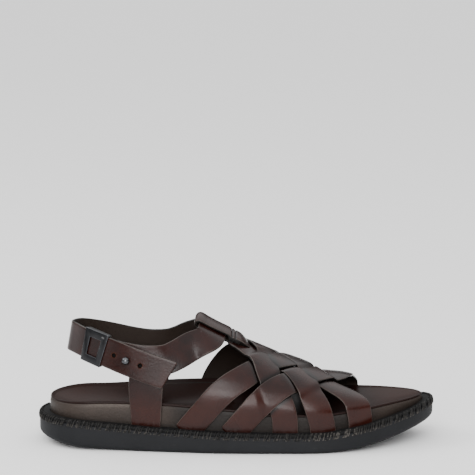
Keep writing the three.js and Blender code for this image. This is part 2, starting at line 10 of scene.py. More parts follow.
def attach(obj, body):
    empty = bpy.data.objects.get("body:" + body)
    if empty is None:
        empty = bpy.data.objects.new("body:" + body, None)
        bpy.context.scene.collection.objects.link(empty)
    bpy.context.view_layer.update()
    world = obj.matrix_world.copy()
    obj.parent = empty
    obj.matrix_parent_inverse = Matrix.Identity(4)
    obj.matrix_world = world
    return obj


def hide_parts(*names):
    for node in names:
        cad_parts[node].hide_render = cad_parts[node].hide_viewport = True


mm = 0.001
dice = random.Random(7)
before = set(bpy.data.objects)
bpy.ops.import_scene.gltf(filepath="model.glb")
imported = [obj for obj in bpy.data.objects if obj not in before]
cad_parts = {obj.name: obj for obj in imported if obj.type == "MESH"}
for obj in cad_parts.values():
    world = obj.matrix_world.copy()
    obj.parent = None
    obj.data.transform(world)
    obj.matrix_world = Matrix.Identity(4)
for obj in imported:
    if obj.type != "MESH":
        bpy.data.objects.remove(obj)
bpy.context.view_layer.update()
print("frame loaded")

# Sole and last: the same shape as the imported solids

sole = {
    "length": 295.0,
    "ballWidth": 105.0,
    "heelRound": 40.0,
    "toeRound": 59.0,
    "toeBlunt": 2.1,
    "toeSpring": 16.0,
    "heelThickness": 17.0,
    "footbedHeight": 18.0,
    "ledge": 8.0,
    "bowlReach": 26.0,
    "seatGap": 0.3,
    "stations": 84,
    "drawnEnds": 0.82,
}
planTable = {
    "at": [0.0, 0.13, 0.3, 0.45, 0.6, 0.7, 0.8, 0.9, 1.0],
    "centre": [-0.0095, -0.0095, -0.0385, -0.05, -0.0175, 0.0016, 0.03, 0.0665, 0.095],
    "half": [0.381, 0.376, 0.4045, 0.445, 0.486, 0.5, 0.471, 0.41, 0.343],
}
profileTable = {
    "at": [0.0, 0.1, 0.16, 0.3, 0.45, 0.6, 0.72, 0.8, 0.9, 1.0],
    "lift": [0.42, 0.12, 0.045, 0.0, 0.0, 0.0, 0.0, 0.14, 0.52, 1.0],
    "thick": [0.79, 1.01, 1.0, 0.9, 0.775, 0.72, 0.735, 0.785, 0.75, 0.68],
    "outer": [0.76, 0.84, 0.95, 1.08, 1.07, 0.87, 0.83, 0.79, 0.62, 0.31],
    "inner": [0.76, 0.9, 0.99, 1.25, 1.39, 1.16, 0.94, 0.83, 0.58, 0.31],
    "bed": [0.4, 0.44, 0.46, 0.5, 0.58, 0.64, 0.62, 0.56, 0.42, 0.2],
}
last = {
    "instep": 99.0,
    "frontArch": 2.6,  # the far end of the front strips stands higher
    "toeSofter": 0.3,  # the toe end is rounder on the inner side
    "steps": 49,
    "probe": 0.004,
}
lastTable = {
    "at": [0.3, 0.36, 0.42, 0.5, 0.58, 0.66, 0.74, 0.82, 0.9],
    "crest": [1.09, 0.975, 0.864, 0.742, 0.631, 0.542, 0.46, 0.4, 0.365],
    "ridge": [0.019, 0.019, 0.019, 0.029, 0.038, 0.048, 0.057, 0.067, 0.067],
    "full": [2.0, 2.0, 2.0, 2.0, 2.1, 2.2, 2.3, 2.4, 2.5],
}


def cubic(t, first, second, leaving, arriving):
    rise = first * (2 * t**3 - 3 * t**2 + 1) + second * (3 * t**2 - 2 * t**3)
    return rise + leaving * (t**3 - 2 * t**2 + t) + arriving * (t**3 - t**2)


def readTable(table, place, by="at"):
    # every column of a table at each place, on a smooth curve through its rows
    known = np.asarray(table[by], float)
    place = np.asarray(place, float)
    step = np.diff(known)
    i = np.clip(np.searchsorted(known, place, side="left") - 1, 0, len(known) - 2)
    t = np.clip((place - known[i]) / step[i], 0, 1)
    found = {}
    for key, values in table.items():
        if key == by:
            continue
        values = np.asarray(values, float)
        slope = np.diff(values) / step
        tangent = np.concatenate([slope[:1], slope[:1], slope[-1:]])
        if len(values) > 2:
            inner = (slope[:-1] * step[1:] + slope[1:] * step[:-1]) / (step[:-1] + step[1:])
            tangent = np.concatenate([slope[:1], inner, slope[-1:]])
        found[key] = cubic(t, values[i], values[i + 1], step[i] * tangent[i], step[i] * tangent[i + 1])
    return found


def smooth(value, low, high):
    t = np.clip((np.asarray(value, float) - low) / (high - low), 0, 1)
    return t * t * (3 - 2 * t)


def between(value, low, full, lessening, gone):
    return smooth(value, low, full) * (1 - smooth(value, lessening, gone))


def unit(vectors):
    return vectors / np.linalg.norm(vectors, axis=-1, keepdims=True)


def soleBottom(at):
    return sole["toeSpring"] * np.maximum(0, readTable(profileTable, at)["lift"])


def soleTop(at):
    return soleBottom(at) + sole["heelThickness"] * readTable(profileTable, at)["thick"]


def rimHeight(at, side):
    row = readTable(profileTable, at)
    return soleTop(at) + sole["footbedHeight"] * np.where(side < 0, row["outer"], row["inner"])


def bedHeight(at):
    return soleTop(at) + sole["footbedHeight"] * readTable(profileTable, at)["bed"]


def alongSole(at):
    return (np.asarray(at, float) - 0.5) * sole["length"]


def shareAlong(x):
    return x / sole["length"] + 0.5


def roundEnds(place, inset):
    length = sole["length"] - 2 * inset
    heel = np.clip(1 - place * length / (sole["heelRound"] - inset), 0, 1)
    toe = np.clip(1 - (1 - place) * length / (sole["toeRound"] - inset), 0, 1)
    return np.sqrt(1 - heel**2) * np.sqrt(1 - toe ** sole["toeBlunt"])


def edgeAcross(at, side, inset=0.0):
    share = inset / sole["length"]
    place = np.clip((at - share) / (1 - 2 * share), 0, 1)
    row = readTable(planTable, place)
    wide = sole["ballWidth"]
    return wide * row["centre"] + side * (wide * row["half"] - inset) * roundEnds(place, inset)


# The heights that a ring round the sole follows


def onBottom(at, side, x, y):
    return soleBottom(at)


def onTop(at, side, x, y):
    return soleTop(at)


def onRim(at, side, x, y):
    return rimHeight(at, side)


def soleRing(inset, height, rise=0.0, shrink=1.0):
    # one ring round the sole; shrink draws it in towards the middle line
    count = sole["stations"]
    i = np.arange(2 * count + 1)
    side = np.where(i <= count, -1.0, 1.0)
    share = inset / sole["length"]
    place = (1 - np.cos(np.pi * np.where(i <= count, i, 2 * count - i) / count)) / 2
    whole = share + place * (1 - 2 * share)
    at = 0.5 + (whole - 0.5) * (sole["drawnEnds"] + (1 - sole["drawnEnds"]) * shrink)
    edge = edgeAcross(at, side, inset)
    if shrink < 1:
        middle = sole["ballWidth"] * readTable(planTable, at)["centre"]
        edge = middle + (edgeAcross(whole, side, inset) - middle) * shrink
    ring = np.stack([alongSole(at), edge, height(at, side, alongSole(at), edge) + rise], -1)
    ring[-1] = ring[0]  # the ring closes at the heel
    return ring


def lastPoint(at, around):
    # around runs from the outer base (0) over the crest (0.5) to the inner base (1)
    at, around = np.broadcast_arrays(np.asarray(at, float), np.asarray(around, float))
    shape = at.shape
    at, around = at.ravel(), around.ravel()
    row = readTable(lastTable, at)
    side = np.where(around < 0.5, -1.0, 1.0)
    wall = edgeAcross(at, side, sole["ledge"]) + side * sole["seatGap"]
    base = soleTop(at) + sole["seatGap"]
    rim = rimHeight(at, side)
    top = last["instep"] * row["crest"]
    middle = sole["ballWidth"] * row["ridge"]
    turn = np.linspace(0, np.pi / 2, last["steps"])[None, :]
    softer = last["toeSofter"] * smooth(at, 0.64, 0.76) * (around > 0.5)
    power = 2 / (row["full"] - softer)[:, None]
    arcY = middle[:, None] + (wall - middle)[:, None] * np.maximum(np.cos(turn), 0) ** power
    arcZ = rim[:, None] + (top - rim)[:, None] * np.sin(turn) ** power
    steps = np.hypot(np.diff(arcY, axis=1), np.diff(arcZ, axis=1))
    run = np.concatenate([np.zeros((len(at), 1)), np.cumsum(steps, axis=1)], 1)
    whole = rim - base + run[:, -1]
    left = whole * np.where(side < 0, 2 * around, 2 * (1 - around)) - (rim - base)
    i = np.clip((run <= left[:, None]).sum(1) - 1, 0, run.shape[1] - 2)
    pick = np.arange(len(at))
    share = np.clip((left - run[pick, i]) / np.maximum(steps[pick, i], 1e-9), 0, 1)
    y = arcY[pick, i] + (arcY[pick, i + 1] - arcY[pick, i]) * share
    z = arcZ[pick, i] + (arcZ[pick, i + 1] - arcZ[pick, i]) * share
    y = np.where(left <= 0, wall, y)
    z = np.where(left <= 0, rim + left, z)
    z = z + last["frontArch"] * smooth(at, 0.7, 0.79) * between(around, 0.4, 0.52, 0.62, 0.88)
    return np.stack([alongSole(at), y, z], -1).reshape(*shape, 3)


def lastFrame(at, around):
    small = last["probe"]
    forward = (lastPoint(at + small, around) - lastPoint(at - small, around)) / (2 * small)
    over = (lastPoint(at, around + small) - lastPoint(at, around - small)) / (2 * small)
    return forward, over, unit(np.cross(forward, over))


def beside(at, around, dAt, dAround, distance):
    # the place on the last that lies a distance beside a line running in direction (dAt, dAround)
    forward, over, out = lastFrame(at, around)
    across = np.cross(out, unit(forward * dAt[..., None] + over * dAround[..., None]))
    ff, fo, oo = (forward * forward).sum(-1), (forward * over).sum(-1), (over * over).sum(-1)
    af, ao = (across * forward).sum(-1), (across * over).sum(-1)
    whole = ff * oo - fo * fo
    return at + distance * (af * oo - ao * fo) / whole, around + distance * (ao * ff - af * fo) / whole


# Mesh helpers


def cutSection(width, thickness, edgeRound, crown=0.0, underRound=0.3):
    # closed outline of a cut strap: across, off, and which face it is on (1 outside, 0.5 edge, 0 inside)
    half, flat = width / 2, width / 2 - edgeRound
    rows = [(a, thickness - crown * (a / half) ** 2, 1.0) for a in np.linspace(-flat, flat, 11)]
    arc = np.radians([22.5, 45, 67.5, 90])
    foot = thickness - crown - edgeRound
    right = [
        (flat + edgeRound * math.sin(t), foot + edgeRound * math.cos(t), 1 - 0.125 * k)
        for k, t in enumerate(arc, 1)
    ]
    low = [
        (half - underRound * (1 - math.cos(t)), underRound * (1 - math.sin(t)), 0.5 - 0.0625 * k)
        for k, t in enumerate([0, *arc[1::2]])
    ]
    inner = half - underRound - 0.5
    inside = [(a, 0.0, 0.0) for a in np.linspace(inner, -inner, 7)]
    left = [(-a, o, f) for a, o, f in reversed(right + low)]
    rows = rows + right + low + inside + left
    rows.append(rows[0])
    return [np.array(column) for column in zip(*rows)]


def gridOver(points, face=None, along=None, across=None, marks=None, caps=True, punches=()):
    # a grid laid over a table of points, merged where rows or columns meet; punches are holes through it
    rows, columns = points.shape[:2]
    bm = bmesh.new()
    uvLayer = bm.loops.layers.uv.new("UVMap")
    bmesh.ops.create_grid(bm, x_segments=rows - 1, y_segments=columns - 1, size=1.0)
    layers = {key: bm.verts.layers.float.new(key) for key in ["face", *(marks or {})]}
    spots = {}
    for vert in bm.verts:
        spots[vert] = (round((vert.co.x + 1) / 2 * (rows - 1)), round((vert.co.y + 1) / 2 * (columns - 1)))
    for vert, (i, j) in spots.items():
        vert.co = Vector(points[i, j]) * mm
        vert[layers["face"]] = 1.0 if face is None else float(face[j])
        for key, values in (marks or {}).items():
            vert[layers[key]] = float(values[i, j])
    if along is not None:
        for polygon in bm.faces:
            for loop in polygon.loops:
                i, j = spots[loop.vert]
                loop[uvLayer].uv = (along[i] * mm, across[j] * mm)
    for row, reach, columnPair in punches:
        gone = []
        for polygon in bm.faces:
            i = sum(spots[v][0] for v in polygon.verts) / len(polygon.verts)
            j = sum(spots[v][1] for v in polygon.verts) / len(polygon.verts)
            if abs(i - row) < reach and min(abs(j - column) for column in columnPair) < reach:
                gone.append(polygon)
        rim = {e for f in gone for e in f.edges if sum(g in gone for g in e.link_faces) == 1}
        bmesh.ops.delete(bm, geom=gone, context="FACES")
        bmesh.ops.bridge_loops(bm, edges=[e for e in rim if e.is_valid])
    bmesh.ops.remove_doubles(bm, verts=bm.verts, dist=2e-6)
    bmesh.ops.dissolve_degenerate(bm, edges=bm.edges, dist=1e-6)
    if caps:
        bmesh.ops.holes_fill(bm, edges=[edge for edge in bm.edges if edge.is_boundary], sides=0)
    return bm


def addShape(bm, one):
    # puts a small finished shape into the piece it belongs to
    scratch = bpy.data.meshes.new("scratch")
    one.to_mesh(scratch)
    one.free()
    bm.from_mesh(scratch)
    bpy.data.meshes.remove(scratch)


def spunShape(line, steps, centre, outer):
    # turns a profile (out, up, shade) once round the axis that runs from centre to outer
    bm = bmesh.new()
    shade = bm.verts.layers.float.new("shade")
    verts = []
    for wide, high, dark in line:
        vert = bm.verts.new((wide * mm, 0, high * mm))
        vert[shade] = dark
        verts.append(vert)
    edges = [bm.edges.new(pair) for pair in zip(verts, verts[1:])]
    whole = {"cent": (0, 0, 0), "axis": (0, 0, 1), "angle": 2 * math.pi, "use_merge": True}
    bmesh.ops.spin(bm, geom=verts + edges, steps=steps, **whole)
    bmesh.ops.remove_doubles(bm, verts=bm.verts, dist=1e-6)
    turn = Vector(outer - centre).to_track_quat("Z", "Y").to_matrix().to_4x4()
    bmesh.ops.transform(bm, matrix=Matrix.Translation(Vector(centre) * mm) @ turn, verts=bm.verts)
    return bm


def makePiece(name, bm, finish, replaces=(), sharp=None, levels=0, turn=True):
    if turn:
        bmesh.ops.recalc_face_normals(bm, faces=bm.faces)
    mesh = bpy.data.meshes.new(name)
    bm.to_mesh(mesh)
    bm.free()
    piece = bpy.data.objects.new(name, mesh)
    bpy.context.scene.collection.objects.link(piece)
    for one in finish if isinstance(finish, list) else [finish]:
        mesh.materials.append(one)
    mesh.shade_smooth()
    if sharp:
        mesh.set_sharp_from_angle(angle=math.radians(sharp))
    if levels:
        subsurf = piece.modifiers.new("soften", "SUBSURF")
        subsurf.levels = subsurf.render_levels = levels
    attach(piece, "root")
    if replaces:
        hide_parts(*replaces)


def runLength(points):
    return np.concatenate([[0], np.cumsum(np.linalg.norm(np.diff(points, axis=0), axis=1))])


def tube(path, radius, sides=6):
    # a round strand along a line of points, with closed ends
    path = np.asarray(path, float)
    run = unit(np.gradient(path, axis=0))
    side = unit(np.cross(run, [0.0, 0.0, 1.0] if abs(run[0][2]) < 0.8 else [1.0, 0.0, 0.0]))
    other = np.cross(run, side)
    turns = np.linspace(0, 2 * np.pi, sides + 1)
    radius = np.broadcast_to(radius, len(path))[:, None, None]
    ring = side[:, None] * np.cos(turns)[None, :, None] + other[:, None] * np.sin(turns)[None, :, None]
    return path[:, None] + radius * ring


# Materials


def setSocket(socket, value):
    if isinstance(value, bpy.types.NodeSocket):
        socket.id_data.links.new(value, socket)
    elif isinstance(value, tuple) and len(value) == 3 and socket.type == "RGBA":
        socket.default_value = (*value, 1)
    else:
        socket.default_value = value


def nodeMaker(tree):
    def add(kind, **values):
        node = tree.nodes.new(kind)
        for key, value in values.items():
            if key.startswith("in_"):
                setSocket(node.inputs[key[3:].replace("_", " ")], value)
            else:
                setattr(node, key, value)
        return node

    return add


def ramp(add, value, stops, smoothly=False):
    node = add("ShaderNodeValToRGB", in_Fac=value)
    node.color_ramp.interpolation = "EASE" if smoothly else "LINEAR"
    while len(node.color_ramp.elements) < len(stops):
        node.color_ramp.elements.new(0.5)
    for element, (place, grey) in zip(node.color_ramp.elements, stops):
        element.position = place
        element.color = (grey, grey, grey, 1)
    return node.outputs["Color"]


def mixColour(add, share, first, second):
    node = add("ShaderNodeMix", data_type="RGBA")
    for socket, value in ((node.inputs[0], share), (node.inputs[6], first), (node.inputs[7], second)):
        setSocket(socket, value)
    return node.outputs[2]


def calc(add, operation, first, second, clamp=False):
    node = add("ShaderNodeMath", operation=operation, use_clamp=clamp)
    setSocket(node.inputs[0], first)
    setSocket(node.inputs[1], second)
    return node.outputs[0]


def tint(add, tone, mask, strength, colour):
    # lays a colour over the tone where the mask says, at most as strong as given
    return mixColour(add, calc(add, "MULTIPLY", mask, strength), tone, colour)


def noise(add, place, scale, detail):
    return add("ShaderNodeTexNoise", in_Vector=place, in_Scale=scale, in_Detail=detail).outputs["Fac"]


def mark(add, name):
    return add("ShaderNodeAttribute", attribute_name=name).outputs["Fac"]


def effectGroup(name, inputs, outputs, build):
    group = bpy.data.node_groups.new(name, "ShaderNodeTree")
    group.interface.new_socket("Vector", in_out="INPUT", socket_type="NodeSocketVector")
    for label, value in inputs.items():
        group.interface.new_socket(label, in_out="INPUT", socket_type="NodeSocketFloat").default_value = value
    for label in outputs:
        group.interface.new_socket(label, in_out="OUTPUT", socket_type="NodeSocketFloat")
    add = nodeMaker(group)
    entry, leave = add("NodeGroupInput"), add("NodeGroupOutput")
    build(add, entry.outputs, lambda label, socket: group.links.new(socket, leave.inputs[label]))
    return group


def useGroup(add, group, **values):
    node = add("ShaderNodeGroup", node_tree=group)
    for key, value in values.items():
        setSocket(node.inputs[key.replace("_", " ")], value)
    return node.outputs


def buildGrain(add, given, put):
    # pores and fine creases of finished leather, with slow patches of tone
    place = given["Vector"]
    pores = add("ShaderNodeTexVoronoi", feature="SMOOTH_F1", in_Vector=place, in_Scale=given["Pore Scale"])
    pores.inputs["Smoothness"].default_value = 0.6
    creases = noise(add, place, given["Crease Scale"], 5.0)
    patches = noise(add, place, given["Patch Scale"], 3.0)
    speck = noise(add, place, 2600.0, 2.0)
    low = calc(add, "MULTIPLY", pores.outputs["Distance"], 0.55)
    put("Height", calc(add, "ADD", low, calc(add, "MULTIPLY", creases, 0.45)))
    put("Patches", ramp(add, patches, [(0.32, 0.0), (0.68, 1.0)], True))
    put("Specks", ramp(add, speck, [(0.4, 0.0), (0.62, 1.0)]))


def buildWear(add, given, put):
    # thin scratches and rubbed spots, as a mask
    stretch = add("ShaderNodeMapping", in_Vector=given["Vector"], in_Scale=(60.0, 420.0, 420.0))
    lines = ramp(add, noise(add, stretch.outputs["Vector"], 1.0, 4.0), [(0.62, 0.0), (0.68, 1.0)])
    spots = ramp(add, noise(add, given["Vector"], 55.0, 4.0), [(0.5, 0.0), (0.66, 1.0)], True)
    put("Mask", calc(add, "MULTIPLY", calc(add, "MULTIPLY", lines, spots), given["Amount"], True))


grainInputs = {"Pore Scale": 900.0, "Crease Scale": 260.0, "Patch Scale": 38.0}
grainGroup = effectGroup("leatherGrain", grainInputs, ["Height", "Patches", "Specks"], buildGrain)
wearGroup = effectGroup("fineWear", {"Amount": 0.5}, ["Mask"], buildWear)


def startMaterial(name):
    material = bpy.data.materials.new(name)
    material.use_nodes = True
    tree = material.node_tree
    tree.nodes.clear()
    add = nodeMaker(tree)
    shader = add("ShaderNodeBsdfPrincipled")
    add("ShaderNodeOutputMaterial", in_Surface=shader.outputs["BSDF"])
    place = add("ShaderNodeTexCoord").outputs["Object"]
    return material, add, shader, place


def finishShader(add, shader, tone, rough, height, bump, depth, **steady):
    # what varies over the surface, then the values that are the same all over
    relief = add("ShaderNodeBump", in_Strength=bump, in_Distance=depth * mm, in_Height=height)
    setSocket(shader.inputs["Base Color"], tone)
    setSocket(shader.inputs["Roughness"], rough)
    setSocket(shader.inputs["Normal"], relief.outputs["Normal"])
    for key, value in steady.items():
        shader.inputs[key.replace("_", " ")].default_value = value


strapFinish = {
    "deep": (0.0062, 0.0017, 0.0014),
    "main": (0.0125, 0.0029, 0.0021),
    "red": (0.022, 0.0047, 0.0031),
    "burnish": (0.03, 0.0062, 0.0034),
    "inside": (0.017, 0.0105, 0.0075),
    "cutEdge": (0.0045, 0.0035, 0.003),
    "shadow": (0.0012, 0.0008, 0.0007),
    "edgeLineAndHighlight": (0.085, 0.07, 0.061),
    "redShare": 0.55,
    "burnishShare": 0.75,
    "speckShare": 0.18,
    "lineAndHighlightShare": 0.7,
    "shadowShare": 0.92,
    "patchScale": 30.0,
    "cloudScale": 70.0,
    "crackScale": 260.0,
    "wear": 0.35,
    "roughness": (0.23, 0.32),
    "insideRougher": 0.4,
    "specular": 0.2,
    "bump": 0.16,
}


def strapLeather(name, finish):
    material, add, shader, place = startMaterial(name)
    grain = useGroup(add, grainGroup, Vector=place, Patch_Scale=finish["patchScale"])
    wear = useGroup(add, wearGroup, Vector=place, Amount=finish["wear"])
    face = mark(add, "face")
    broad = noise(add, place, finish["cloudScale"], 4.0)
    tone = mixColour(add, grain["Patches"], finish["deep"], finish["main"])
    clouds = ramp(add, broad, [(0.42, 0.0), (0.66, 1.0)], True)
    tone = tint(add, tone, clouds, finish["redShare"], finish["red"])
    glow = calc(add, "MULTIPLY", mark(add, "burnish"), calc(add, "ADD", broad, 0.35), True)
    tone = tint(add, tone, glow, finish["burnishShare"], finish["burnish"])
    tone = tint(add, tone, grain["Specks"], finish["speckShare"], finish["deep"])
    tone = mixColour(add, wear["Mask"], tone, finish["deep"])
    cells = {"feature": "DISTANCE_TO_EDGE", "in_Vector": place, "in_Scale": finish["crackScale"]}
    crack = add("ShaderNodeTexVoronoi", **cells).outputs["Distance"]
    crack = ramp(add, crack, [(0.02, 1.0), (0.09, 0.0)])
    crack = calc(add, "MULTIPLY", crack, mark(add, "scuff"), True)
    tone = mixColour(add, crack, tone, finish["deep"])
    # the cut edge is dark, with a pale broken line along its corner that is partly the paler cut and partly a
    # painted highlight
    tone = mixColour(add, ramp(add, face, [(0.6, 1.0), (0.8, 0.0)]), tone, finish["cutEdge"])
    line = ramp(add, face, [(0.6, 0.0), (0.72, 1.0), (0.86, 1.0), (0.97, 0.0)])
    broken = calc(add, "ADD", calc(add, "MULTIPLY", broad, 1.5), -0.15)
    tone = tint(add, tone, calc(add, "MULTIPLY", line, broken, True), finish["lineAndHighlightShare"], finish["edgeLineAndHighlight"])
    # painted shadow where a piece is marked dark: beside strips that cross over, and in the bar's stitch
    # grooves
    tone = tint(add, tone, mark(add, "dark"), finish["shadowShare"], finish["shadow"])
    inside = ramp(add, face, [(0.12, 1.0), (0.3, 0.0)])
    tone = mixColour(add, inside, tone, finish["inside"])
    low, high = finish["roughness"]
    rough = calc(add, "ADD", calc(add, "MULTIPLY", grain["Patches"], high - low), low)
    rough = calc(add, "ADD", rough, calc(add, "MULTIPLY", inside, finish["insideRougher"]))
    height = calc(add, "SUBTRACT", grain["Height"], calc(add, "MULTIPLY", crack, 0.8))
    steady = {"Specular_IOR_Level": finish["specular"], "Coat_Roughness": 0.3, "Coat_Weight": 0.08}
    finishShader(add, shader, tone, rough, height, finish["bump"], 0.6, **steady)
    return material


strapMaterial = strapLeather("burnishedStrapLeather", strapFinish)
insoleFinish = {
    "deep": (0.0125, 0.0042, 0.003),
    "main": (0.02, 0.0068, 0.0046),
    "speck": (0.004, 0.0022, 0.0018),
    "shade": (0.0075, 0.0022, 0.0016),
    "speckShare": 0.25,
    "roughness": 0.36,
    "specular": 0.07,
    "coat": 0.12,
    "pores": 1100.0,
    "creases": 300.0,
    "patches": 20.0,
    "bump": 0.1,
}
wallFinish = {
    "deep": (0.021, 0.0145, 0.0115),
    "main": (0.032, 0.0222, 0.0175),
    "speck": (0.07, 0.055, 0.046),
    "shade": (0.0052, 0.0034, 0.0026),
    "shoulderHighlight": (0.085, 0.068, 0.058),
    "speckShare": 0.2,
    "roughness": 0.52,
    "specular": 0.25,
    "coat": 0.0,
    "pores": 760.0,
    "creases": 420.0,
    "patches": 30.0,
    "bump": 0.35,
}
holeFinish = {
    "deep": (0.03, 0.009, 0.004),
    "main": (0.075, 0.025, 0.011),
    "speck": (0.01, 0.004, 0.003),
    "shade": (0.0012, 0.0009, 0.0008),
    "speckShare": 0.3,
    "roughness": 0.6,
    "specular": 0.1,
    "coat": 0.0,
    "pores": 1400.0,
    "creases": 500.0,
    "patches": 300.0,
    "bump": 0.3,
}


def plainLeather(name, finish):
    # deep and light tone in slow patches, grain, and a darker tone where the piece is marked with shade
    material, add, shader, place = startMaterial(name)
    scales = {"Pore_Scale": "pores", "Crease_Scale": "creases", "Patch_Scale": "patches"}
    grain = useGroup(add, grainGroup, Vector=place, **{key: finish[name] for key, name in scales.items()})
    wear = useGroup(add, wearGroup, Vector=place, Amount=0.3)
    tone = mixColour(add, grain["Patches"], finish["deep"], finish["main"])
    tone = tint(add, tone, grain["Specks"], finish["speckShare"], finish["speck"])
    tone = tint(add, tone, wear["Mask"], 0.6, finish["speck"])
    tone = mixColour(add, mark(add, "shade"), tone, finish["shade"])
    # painted highlight along the wall's outer shoulder, where the piece is marked for it
    if "shoulderHighlight" in finish:
        shoulderHighlight = calc(add, "MULTIPLY", mark(add, "shoulderHighlight"), calc(add, "ADD", grain["Specks"], 0.25), True)
        tone = mixColour(add, shoulderHighlight, tone, finish["shoulderHighlight"])
    rough = calc(add, "ADD", calc(add, "MULTIPLY", grain["Patches"], 0.1), finish["roughness"])
    steady = {"Specular_IOR_Level": finish["specular"], "Coat_Weight": finish["coat"], "Coat_Roughness": 0.4}
    finishShader(add, shader, tone, rough, grain["Height"], finish["bump"], 0.8, **steady)
    return material


insoleMaterial = plainLeather("footbedLeather", insoleFinish)
wallMaterial = plainLeather("footbedWallLeather", wallFinish)
rawMaterial = plainLeather("rawHoleEdge", holeFinish)


def moulded(name, dark, light, roughness, bump, fleckAndHighlight=None):
    material, add, shader, place = startMaterial(name)
    cloud = noise(add, place, 45.0, 5.0)
    wear = useGroup(add, wearGroup, Vector=place, Amount=0.3)
    tone = mixColour(add, ramp(add, cloud, [(0.3, 0.0), (0.7, 1.0)], True), dark, light)
    # pale flecks, and a painted highlight, where the piece is marked
    if fleckAndHighlight:
        spread = ramp(add, noise(add, place, 620.0, 3.0), [(0.4, 0.0), (0.58, 1.0)])
        tone = mixColour(add, calc(add, "MULTIPLY", spread, mark(add, "fleckAndHighlight")), tone, fleckAndHighlight)
    tone = tint(add, tone, wear["Mask"], 0.5, (0.09, 0.09, 0.09))
    rough = calc(add, "ADD", calc(add, "MULTIPLY", cloud, 0.2), roughness - 0.1)
    fine = noise(add, place, 1500.0, 3.0)
    finishShader(add, shader, tone, rough, fine, bump, 0.4, Specular_IOR_Level=0.18)
    return material


rubberMaterial = moulded("charcoalRubber", (0.0068, 0.0071, 0.0082), (0.0093, 0.0097, 0.0112), 0.6, 0.25)
weltMaterial = moulded("blackWelt", (0.002, 0.002, 0.0022), (0.004, 0.0038, 0.0038), 0.7, 0.3)
thread = [(0.0022, 0.0022, 0.0024), (0.0068, 0.0064, 0.0062)]
threadMaterial = moulded("waxedThread", *thread, 0.5, 0.5, fleckAndHighlight=(0.1, 0.09, 0.08))


def metal(name, dark, light, roughness, metallic=1.0):
    material, add, shader, place = startMaterial(name)
    cloud = noise(add, place, 180.0, 5.0)
    wear = useGroup(add, wearGroup, Vector=place, Amount=0.6)
    tone = mixColour(add, ramp(add, cloud, [(0.3, 0.0), (0.7, 1.0)], True), dark, light)
    tone = tint(add, tone, wear["Mask"], 0.5, (0.3, 0.3, 0.3))
    rough = calc(add, "ADD", calc(add, "MULTIPLY", cloud, 0.16), roughness - 0.08)
    finishShader(add, shader, tone, rough, noise(add, place, 2200.0, 2.0), 0.06, 0.2, Metallic=metallic)
    return material


studMaterial = metal("gunmetalStud", (0.06, 0.062, 0.068), (0.11, 0.113, 0.12), 0.22)
keeperMaterial = metal("blackKeeper", (0.005, 0.0053, 0.0066), (0.009, 0.0095, 0.0115), 0.36, 0.5)
keeperEdgeMaterial = metal("wornKeeperEdge", (0.06, 0.062, 0.068), (0.12, 0.12, 0.13), 0.3)
print("materials ready")

# Outsole

outsole = {
    "edgeRound": 3.4,
    "topRound": 1.0,
    "rim": 9.0,
    "topInset": 12.0,
    "treadDepth": 1.3,
    "treadSunk": 0.4,
    "barPitch": 9.6,
    "barWidth": 6.2,
    "barWave": 2.0,
    "barFoot": 0.85,
}


def outsoleRings():
    radius, top, rim, deep = (outsole[key] for key in ("edgeRound", "topRound", "rim", "treadDepth"))
    rings = [soleRing(rim + 1.2, onBottom, deep, share) for share in (0.0, 0.3, 0.6, 0.9, 1.0)]
    rings += [soleRing(rim + 0.3, onBottom, deep), soleRing(rim, onBottom)]
    for turn in np.radians(np.linspace(0, 90, 7)):
        rings.append(soleRing(radius * (1 - np.sin(turn)), onBottom, radius * (1 - np.cos(turn))))
    low, high = soleRing(0.0, onBottom, radius), soleRing(0.0, onTop, -top)
    rings += [low * (1 - share) + high * share for share in (0.25, 0.5, 0.75)]
    for turn in np.radians(np.linspace(0, 90, 5)):
        rings.append(soleRing(top * (1 - np.cos(turn)), onTop, -top * (1 - np.sin(turn))))
    rings += [soleRing(outsole["topInset"], onTop, 0.0, share) for share in (1.0, 0.6, 0.0)]
    return np.array(rings)


outsoleShape = gridOver(outsoleRings(), caps=False)
makePiece("outsole_body", outsoleShape, rubberMaterial, ["outsole"], sharp=50)


def treadBars():
    bm = bmesh.new()
    inset = outsole["rim"] + 2.4
    first, last = inset + 4, sole["length"] - inset - 4
    count = int((last - first) / outsole["barPitch"])
    for k in range(count + 1):
        x = first + (last - first) * k / count
        at = np.array(x / sole["length"])
        low, high = float(edgeAcross(at, -1.0, inset)), float(edgeAcross(at, 1.0, inset))
        if high - low < 12:
            continue
        bar = bmesh.new()
        bmesh.ops.create_cube(bar, size=1.0)
        across = [e for e in bar.edges if abs(e.verts[0].co.y - e.verts[1].co.y) > 0.5]
        bmesh.ops.subdivide_edges(bar, edges=across, cuts=9, use_grid_fill=True)
        for vert in bar.verts:
            y = low + (vert.co.y + 0.5) * (high - low)
            wave = outsole["barWave"] * math.cos(2 * math.pi * vert.co.y)
            narrow, rise = 1.0, outsole["treadDepth"] + outsole["treadSunk"]
            if vert.co.z < 0:
                narrow, rise = outsole["barFoot"], 0.0
            px = x + wave + vert.co.x * outsole["barWidth"] * narrow
            floor = float(soleBottom(np.array(px / sole["length"])))
            vert.co = Vector((px - sole["length"] / 2, y, floor + rise)) * mm
        addShape(bm, bar)
    return bm


makePiece("outsole_tread", treadBars(), rubberMaterial, sharp=30)
print("outsole made")

# Welt and its whip stitches

welt = {
    "inset": 0.6,
    "thickness": 2.2,
    "round": 0.8,
    "flatFrom": 4.5,
    "pitch": 7.3,
    "strand": 0.48,
    "strands": 4,
    "spread": 0.19,
    "uneven": 0.07,
    "lean": (1.6, 4.2),
    "swell": (0.85, 1.15),
    "loose": 0.12,
    "fleckShare": 0.42,
}


